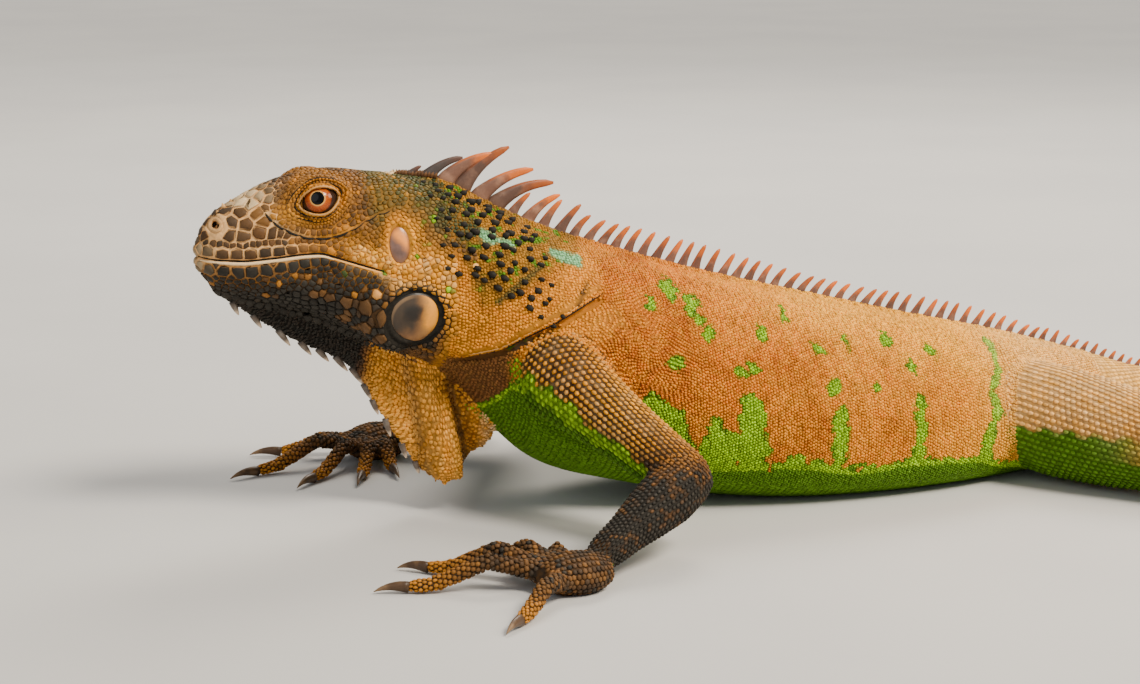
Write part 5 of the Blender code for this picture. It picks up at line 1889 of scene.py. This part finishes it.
def spine_shape(root, heading, length, rise, tip_rise):
    """One crest spine: flat sideways, curving backwards, its foot sunk in the back."""
    steps, foot = 9, 0.12 * length + 1.3
    ahead = np.array((math.cos(heading), math.sin(heading), 0))
    path, radii, point = [root - UP * 3.0], [(foot * 0.5, foot)], root - UP * 0.6
    for i in range(steps):
        left = 1 - i / steps
        width = foot * (0.54 * left**0.25 + 0.40 * left**3)
        path.append(point.copy())
        radii.append((width * 0.5, width))
        angle = math.radians(rise + (tip_rise - rise) * (i + 0.5) / steps)
        point = point + (ahead * math.cos(angle) + UP * math.sin(angle)) * (length / steps)
    path.append(point)
    radii.append((0.16, 0.12 * foot))
    return tube(path, radii, (False, False))


def horn_mesh(name, shapes, sides, extras, up=UP):
    """Several horns in one mesh, each marked with its share from root to tip."""
    bm = bmesh.new()
    layer = bm.verts.layers.float_color.new("marks")
    for shape, (tone, grey) in zip(shapes, extras):
        path = shape[0]
        shares = np.r_[0, np.cumsum(np.linalg.norm(np.diff(path, axis=0), axis=1))]
        shares /= shares[-1]
        tangents = np.gradient(path, axis=0)

        def surface(along, turn):
            return tube_at(shape, np.interp(along, np.linspace(0, 1, len(path)), shares), turn, up)[0]

        for vert in add_rolled(bm, len(path) - 1, sides, surface):
            near = int(np.argmin(np.linalg.norm(path - np.array(vert.co), axis=1)))
            ahead, offset = unit(tangents[near]), unit(np.array(vert.co) - path[near])
            front = offset[2] * ahead[0] - offset[0] * ahead[2]
            vert[layer] = (shares[near], tone, grey, max(front, 0.0))
    return mesh_from(bm, name)


def build_crest(colours):
    """The crest's spines from the nape to the root of the tail."""
    shapes, extras = [], []
    rng = np.random.default_rng(71)
    for k, (s, length, rise, tip_rise) in enumerate(crest_spines()):
        place, _, lie = body_surface(np.array([s]), np.array([0.0]))
        heading = math.atan2(lie[0, 1], lie[0, 0])
        shapes.append(spine_shape(place[0], heading, length * 0.985, rise, tip_rise))
        extras.append(NAPE_LOOKS[k] if k < len(NAPE_LOOKS) else (rng.random(), 0.25 * rng.random()))
    material = horn_finish("spine_horn", colours.spine, colours.spine_tip, SPINE_STREAK, 0.75)
    finish_piece(horn_mesh("crest_spines", shapes, 10, extras), material)


def build_fringe():
    """The pale cones along the chin and the front of the dewlap."""
    shapes, extras = [], []
    for along, length in GULAR_SPINES:
        inner, edge = dewlap_at(np.array([along, along]), np.array([0.9, 1.0]))
        outward = unit(edge - inner)
        tip = edge + outward * length + np.array((0.8, 0, 0))
        share = np.linspace(0, 1, 8)[:, None]
        path = (edge - outward * 2.2) * (1 - share) + tip * share
        thick = [(1.3 * w, 1.5 * w) for w in (1 - share[:, 0] ** 2.4 * 0.82)]
        shapes.append(tube(path, thick, (False, False)))
        extras.append((0.5, 0.15))
    material = horn_finish("fringe_horn", *FRINGE_HORN)
    data = horn_mesh("throat_fringe", shapes, 10, extras, np.array((0.0, 1.0, 0.0)))
    finish_piece(data, material)


def build_claws(colours):
    """Curved claws, one piece for each foot."""
    material = horn_finish("claw_horn", colours.claw, colours.claw_tip, CLAW_STREAK)
    for name, (_, _, _, digits, _) in FEET.items():
        shapes = [claw_shape(name, digit) for digit in range(len(digits))]
        data = horn_mesh("claws_" + name, shapes, 12, [(0.3 + 0.12 * d, 0) for d in range(5)])
        points = points_of(data)
        points[:, 2] = np.maximum(points[:, 2], FLOOR_GAP)
        set_points(data, points)
        nodes = [f"claw_{name}_{digit + 1}" for digit in range(len(digits))]
        finish_piece(data, material, nodes)


def build_eyes(sizes, colours):
    """The eyeballs, looking out, a little forwards and up."""
    material = eye_finish(colours)
    for side, sign in SIDES.items():
        turn, lift = math.radians(sizes.gaze_forward), math.radians(sizes.gaze_up)
        level = np.array((-math.sin(turn), sign * math.cos(turn), 0))
        gaze, centre = level * math.cos(lift) + UP * math.sin(lift), EYE * (1, sign, 1)
        bm = bmesh.new()
        bmesh.ops.create_uvsphere(bm, u_segments=64, v_segments=48, radius=EYEBALL_RADIUS)
        bmesh.ops.rotate(bm, matrix=Vector(gaze).to_track_quat("Z", "Y").to_matrix(), verts=bm.verts)
        bmesh.ops.translate(bm, vec=centre, verts=bm.verts)
        data = mesh_from(bm, "eyeball_" + side)
        away = unit(points_of(data) - centre)
        angle = np.arccos(np.clip(away @ gaze, -1, 1))
        flat = away - gaze * (away @ gaze)[:, None]
        round_it = np.arctan2(flat[:, 2], flat[:, 0]) / (2 * math.pi) + 0.5
        marks = [angle * EYEBALL_RADIUS / 10, round_it, 0 * angle, 0 * angle]
        set_marks(data, "marks", np.stack(marks, axis=-1))
        finish_piece(data, material, ["eye_" + side])


def lying_on(middle, radii, count, sign):
    """The middle and the outward way of the flat ring that best fits the hide round a place."""
    hits = (seat_in_side_view(s, z, sign) for s, z in ring_places(middle, radii, count))
    rim = np.array([hit for hit in hits if hit is not None])
    centre = rim.mean(axis=0)
    axis = np.linalg.svd(rim - centre)[2][2]
    return centre, axis * np.sign(axis[1]) * sign


def lens_mesh(name, middle, radii, ring, sign, segments, edge=1.0, thick=1.0, sunk=0.9, waves=0.0):
    """A lens on the side of the head, lying as the hide does on a ring of places round it.

    It is marked from 0 in the middle to 1 at the rim, and with how far back and up it lies.
    """
    bm = bmesh.new()
    u, v = segments
    verts = bmesh.ops.create_uvsphere(bm, u_segments=u, v_segments=v, radius=1)["verts"]
    bmesh.ops.rotate(bm, matrix=Matrix.Rotation(math.pi / 2, 3, "X"), verts=verts)
    for vert in verts:
        out = math.hypot(vert.co.x, vert.co.z)
        vert.co.y *= 1 + waves * math.cos(out * 26) * (1 - out)
    bmesh.ops.scale(bm, vec=(radii[0] * edge, thick, radii[1] * edge), verts=verts)
    centre, axis = lying_on(middle, *ring, sign)
    facing = Vector((0, sign, 0)).rotation_difference(Vector(axis))
    bmesh.ops.rotate(bm, matrix=facing.to_matrix(), verts=verts)
    bmesh.ops.translate(bm, vec=centre - axis * sunk, verts=verts)
    data = mesh_from(bm, name)
    points = points_of(data)
    s, z = (points[:, 0] - middle[0]) / radii[0], (points[:, 2] - middle[2]) / radii[1]
    marks = np.stack([np.hypot(s, z), s * 0.5 + 0.5, z * 0.5 + 0.5, 0 * s], axis=-1)
    set_marks(data, "marks", marks.clip(0, 1))
    return data


def build_jowl_plates():
    """The great round scale under each ear, and the ear drum above it."""
    plate_material, drum_material = jowl_finish(), drum_finish()
    plate_radii, plate_ring = (JOWL_RADIUS,) * 2, ((JOWL_RADIUS + 2.2,) * 2, 12)
    for side, sign in SIDES.items():
        plate = lens_mesh(
            "jowl_scale_" + side, JOWL, plate_radii, plate_ring, sign, (48, 32),
            thick=3.0, sunk=1.5, waves=0.03,
        )
        finish_piece(plate, plate_material, ["jowl_plate_" + side])
        drum_ring = (EAR_RADII * 1.3, 4)
        drum = lens_mesh("ear_drum_" + side, EAR, EAR_RADII, drum_ring, sign, (32, 16), edge=1.06)
        finish_piece(drum, drum_material)


# ---------------------------------------------------------------- the studio


def aim(thing, place, back):
    """Puts a lamp or the camera at its place, its back turned the way given."""
    thing.location, thing.rotation_mode = place, "QUATERNION"
    thing.rotation_quaternion = back.to_track_quat("Z", "Y")


def build_stage(sizes):
    """A plain pale floor, soft lights and the camera."""
    bm = bmesh.new()
    bmesh.ops.create_circle(bm, cap_ends=True, segments=96, radius=30.0)
    floor = add_object("studio_floor", mesh_from(bm, "studio_floor"))
    f = Finish("studio_floor", 0.75, 0.25)
    pale = f.noise(6.0, 3.0).between(0.3, 0.7)
    f.set("Base Color", f.mix(pale, FLOOR_PALE, FLOOR_GREY))
    floor.data.materials.append(f.material)

    world = bpy.data.worlds.new("studio")
    world.use_nodes = True
    room = world.node_tree.nodes["Background"].inputs
    room["Color"].default_value, room["Strength"].default_value = (0.62, 0.64, 0.66, 1), sizes.room_light
    bpy.context.scene.world = world

    target = Vector((SNOUT_X + 0.146, 0, 0.062))  # metres, as the rest of the room is
    # Each lamp's place from there, its angle or size, its power and its colour.
    lamps = (
        ("key_light", "SUN", (0.55, -0.85, 1.15), math.radians(18), 3.9, (1.0, 0.91, 0.78)),
        ("fill_light", "SUN", (-1.1, -0.9, 0.8), math.radians(50), 0.55, (0.94, 0.97, 1.0)),
        ("back_light", "AREA", (0.6, 1.0, 1.1), 0.7, 20.0, (1.0, 0.92, 0.80)),
        ("hip_light", "AREA", (0.52, -0.30, 0.46), 0.3, 3.5, (1.0, 0.88, 0.70)),
    )
    for name, kind, place, size, power, colour in lamps:
        light = bpy.data.lights.new(name, kind)
        light.energy, light.color = power, colour
        setattr(light, "angle" if kind == "SUN" else "size", size)
        aim(add_object(name, light), target + Vector(place), Vector(place))

    camera = bpy.data.cameras.new("camera")
    camera.lens, camera.sensor_width = 85.0, 36.0
    turn, lift = math.radians(18), math.radians(11)
    back = Vector((-math.sin(turn) * math.cos(lift), -math.cos(turn) * math.cos(lift), math.sin(lift)))
    view = add_object("camera", camera)
    aim(view, target + back * 1.05, back)
    bpy.context.scene.camera = view


# ---------------------------------------------------------------- the add-on


def colour_property(name, default, description):
    return FloatVectorProperty(
        name=name, description=description, default=default, size=3, min=0, max=1, subtype="COLOR"
    )


def length_property(name, default, description):
    return FloatProperty(name=name, description=description, default=default, min=0, unit="LENGTH")


def number_property(name, default, description, low=0.0):
    return FloatProperty(name=name, description=description, default=default, min=low)


class IguanaSizes(PropertyGroup):
    """Sizes of the coat, in metres, and how the eyes and the room are set."""

    hide_grain: number_property("Hide grain", 1.95, "Face size of the fused hide, in millimetres", 1.2)
    coat_depth: length_property("Coat depth", 0.0004, "How far the hide lies inside the solids")
    flank_scale: length_property("Flank scale", 0.00122, "Spacing of the flank's granular scales")
    limb_scale: length_property("Limb scale", 0.0024, "Spacing of the scales of the limbs")
    gaze_forward: number_property("Gaze forward", 20.0, "How far forwards the eyes look, in degrees", -45)
    gaze_up: number_property("Gaze up", 18.0, "How far up the eyes look, in degrees", -45)
    room_light: number_property("Room light", 0.5, "Strength of the room's light")


class IguanaColours(PropertyGroup):
    """Colours of the hide, the eyes and the horn."""

    rust: colour_property("Rust", (0.76, 0.225, 0.014), "The flank")
    rust_deep: colour_property("Deep rust", (0.50, 0.125, 0.010), "The flank's darker blotches")
    tan: colour_property("Tan", (0.96, 0.46, 0.030), "The back, the hip and the lit side of the scales")
    lime: colour_property("Lime", (0.34, 0.60, 0.006), "The bright marks")
    # Leaf green on the belly is partly its colour, partly painted shade.
    leaf: colour_property("Leaf green", (0.095, 0.22, 0.010), "The belly and the darker marks")
    # Soot also paints shade: on the forearm, hands and feet, the groin, the creases, under the neck's
    # fold and the jaw, and near the floor.
    soot: colour_property("Soot", (0.034, 0.030, 0.024), "The dark plates and tubercles")
    ochre: colour_property("Ochre", (0.80, 0.31, 0.018), "Flecks and the seams of the face")
    # Cream also paints highlights: on the hip, the thigh, the upper arm and the top of the snout.
    cream: colour_property("Cream", (0.86, 0.62, 0.34), "The lips and the pale seams")
    mint: colour_property("Mint", (0.23, 0.50, 0.24), "The patches on the neck")
    spine: colour_property("Spine", (0.15, 0.070, 0.045), "The roots of the spines")
    spine_tip: colour_property("Spine tip", (0.62, 0.13, 0.008), "The tips of the spines")
    claw: colour_property("Claw", (0.075, 0.042, 0.022), "The roots of the claws")
    claw_tip: colour_property("Claw tip", (0.20, 0.12, 0.06), "The tips of the claws")
    iris: colour_property("Iris", (0.50, 0.085, 0.004), "The iris round the ring")
    iris_deep: colour_property("Deep iris", (0.25, 0.035, 0.004), "The iris towards its rim")
    iris_ring: colour_property("Iris ring", (0.72, 0.40, 0.10), "The ring round the pupil")


class IGUANA_OT_hide(Operator):
    """Fuse and sculpt the one skin that replaces the flesh"""

    bl_idname = "iguana.hide"
    bl_label = "Hide"

    def execute(self, context):
        build_hide(context.scene.iguana_sizes, context.scene.iguana_colours)
        return {"FINISHED"}


class IGUANA_OT_body_scales(Operator):
    """Scales of the flanks, belly, neck and tail"""

    bl_idname = "iguana.body_scales"
    bl_label = "Body scales"

    def execute(self, context):
        build_body_scales(context.scene.iguana_sizes)
        return {"FINISHED"}


class IGUANA_OT_tubercles(Operator):
    """Dark cones of the neck and crown"""

    bl_idname = "iguana.tubercles"
    bl_label = "Neck tubercles"

    def execute(self, context):
        build_neck_tubercles()
        return {"FINISHED"}


class IGUANA_OT_limb_scales(Operator):
    """Scales of the legs, feet and digits"""

    bl_idname = "iguana.limb_scales"
    bl_label = "Limb scales"

    def execute(self, context):
        build_limb_scales(context.scene.iguana_sizes)
        return {"FINISHED"}


class IGUANA_OT_dewlap_scales(Operator):
    """Pebbled scales of the dewlap"""

    bl_idname = "iguana.dewlap_scales"
    bl_label = "Dewlap scales"

    def execute(self, context):
        build_dewlap_scales()
        return {"FINISHED"}


class IGUANA_OT_head_plates(Operator):
    """Plates, labials and beads of the head"""

    bl_idname = "iguana.head_plates"
    bl_label = "Head plates"

    def execute(self, context):
        build_head_plates()
        return {"FINISHED"}


class IGUANA_OT_lips(Operator):
    """Lips, lid rims, nostril rims and dark creases of painted shade"""

    bl_idname = "iguana.lips"
    bl_label = "Lips and creases"

    def execute(self, context):
        build_lips()
        return {"FINISHED"}


class IGUANA_OT_jowl_plates(Operator):
    """The great round scales and the ear drums"""

    bl_idname = "iguana.jowl_plates"
    bl_label = "Jowl plates and ears"

    def execute(self, context):
        build_jowl_plates()
        return {"FINISHED"}


class IGUANA_OT_eyes(Operator):
    """The eyeballs"""

    bl_idname = "iguana.eyes"
    bl_label = "Eyes"

    def execute(self, context):
        build_eyes(context.scene.iguana_sizes, context.scene.iguana_colours)
        return {"FINISHED"}


class IGUANA_OT_crest(Operator):
    """The spines of the nape and back"""

    bl_idname = "iguana.crest"
    bl_label = "Crest"

    def execute(self, context):
        build_crest(context.scene.iguana_colours)
        return {"FINISHED"}


class IGUANA_OT_fringe(Operator):
    """The cones under the chin"""

    bl_idname = "iguana.fringe"
    bl_label = "Throat fringe"

    def execute(self, context):
        build_fringe()
        return {"FINISHED"}


class IGUANA_OT_claws(Operator):
    """The claws of the four feet"""

    bl_idname = "iguana.claws"
    bl_label = "Claws"

    def execute(self, context):
        build_claws(context.scene.iguana_colours)
        return {"FINISHED"}


class IGUANA_OT_stage(Operator):
    """The floor, lights and camera"""

    bl_idname = "iguana.stage"
    bl_label = "Stage"

    def execute(self, context):
        build_stage(context.scene.iguana_sizes)
        return {"FINISHED"}


OPERATORS = (
    IGUANA_OT_hide, IGUANA_OT_body_scales, IGUANA_OT_tubercles, IGUANA_OT_limb_scales,
    IGUANA_OT_dewlap_scales, IGUANA_OT_head_plates, IGUANA_OT_lips, IGUANA_OT_jowl_plates,
    IGUANA_OT_eyes, IGUANA_OT_crest, IGUANA_OT_fringe, IGUANA_OT_claws, IGUANA_OT_stage,
)


class IGUANA_PT_panel(Panel):
    """Lists the steps that dress the iguana."""

    bl_idname = "IGUANA_PT_panel"
    bl_label = "Iguana"
    bl_space_type = "VIEW_3D"
    bl_region_type = "UI"
    bl_category = "Iguana"

    def draw(self, context):
        for group in (context.scene.iguana_sizes, context.scene.iguana_colours):
            for name in group.bl_rna.properties.keys():
                if name not in ("rna_type", "name"):
                    self.layout.prop(group, name)
        for operator in OPERATORS:
            self.layout.operator(operator.bl_idname)


CLASSES = (IguanaSizes, IguanaColours, *OPERATORS, IGUANA_PT_panel)


def register():
    for cls in CLASSES:
        bpy.utils.register_class(cls)
    bpy.types.Scene.iguana_sizes = PointerProperty(type=IguanaSizes)
    bpy.types.Scene.iguana_colours = PointerProperty(type=IguanaColours)


def unregister():
    del bpy.types.Scene.iguana_colours
    del bpy.types.Scene.iguana_sizes
    for cls in reversed(CLASSES):
        bpy.utils.unregister_class(cls)


def main():
    """Dresses the frame, one operator after another."""
    register()
    colours = bpy.context.scene.iguana_colours
    # The third number of each finish is how dark the feet of the scales are painted: partly the darker
    # skin between them, partly painted shade.
    MADE["scale_material"] = hide_finish("scale_horn", colours, 0.36)
    MADE["plate_material"] = hide_finish("plate_horn", colours, 0.45, 0.5)
    MADE["limb_material"] = hide_finish("limb_horn", colours, 0.10)
    for operator in OPERATORS:
        getattr(bpy.ops.iguana, operator.bl_idname.split(".")[1])()


if __name__ == "__main__":
    main()
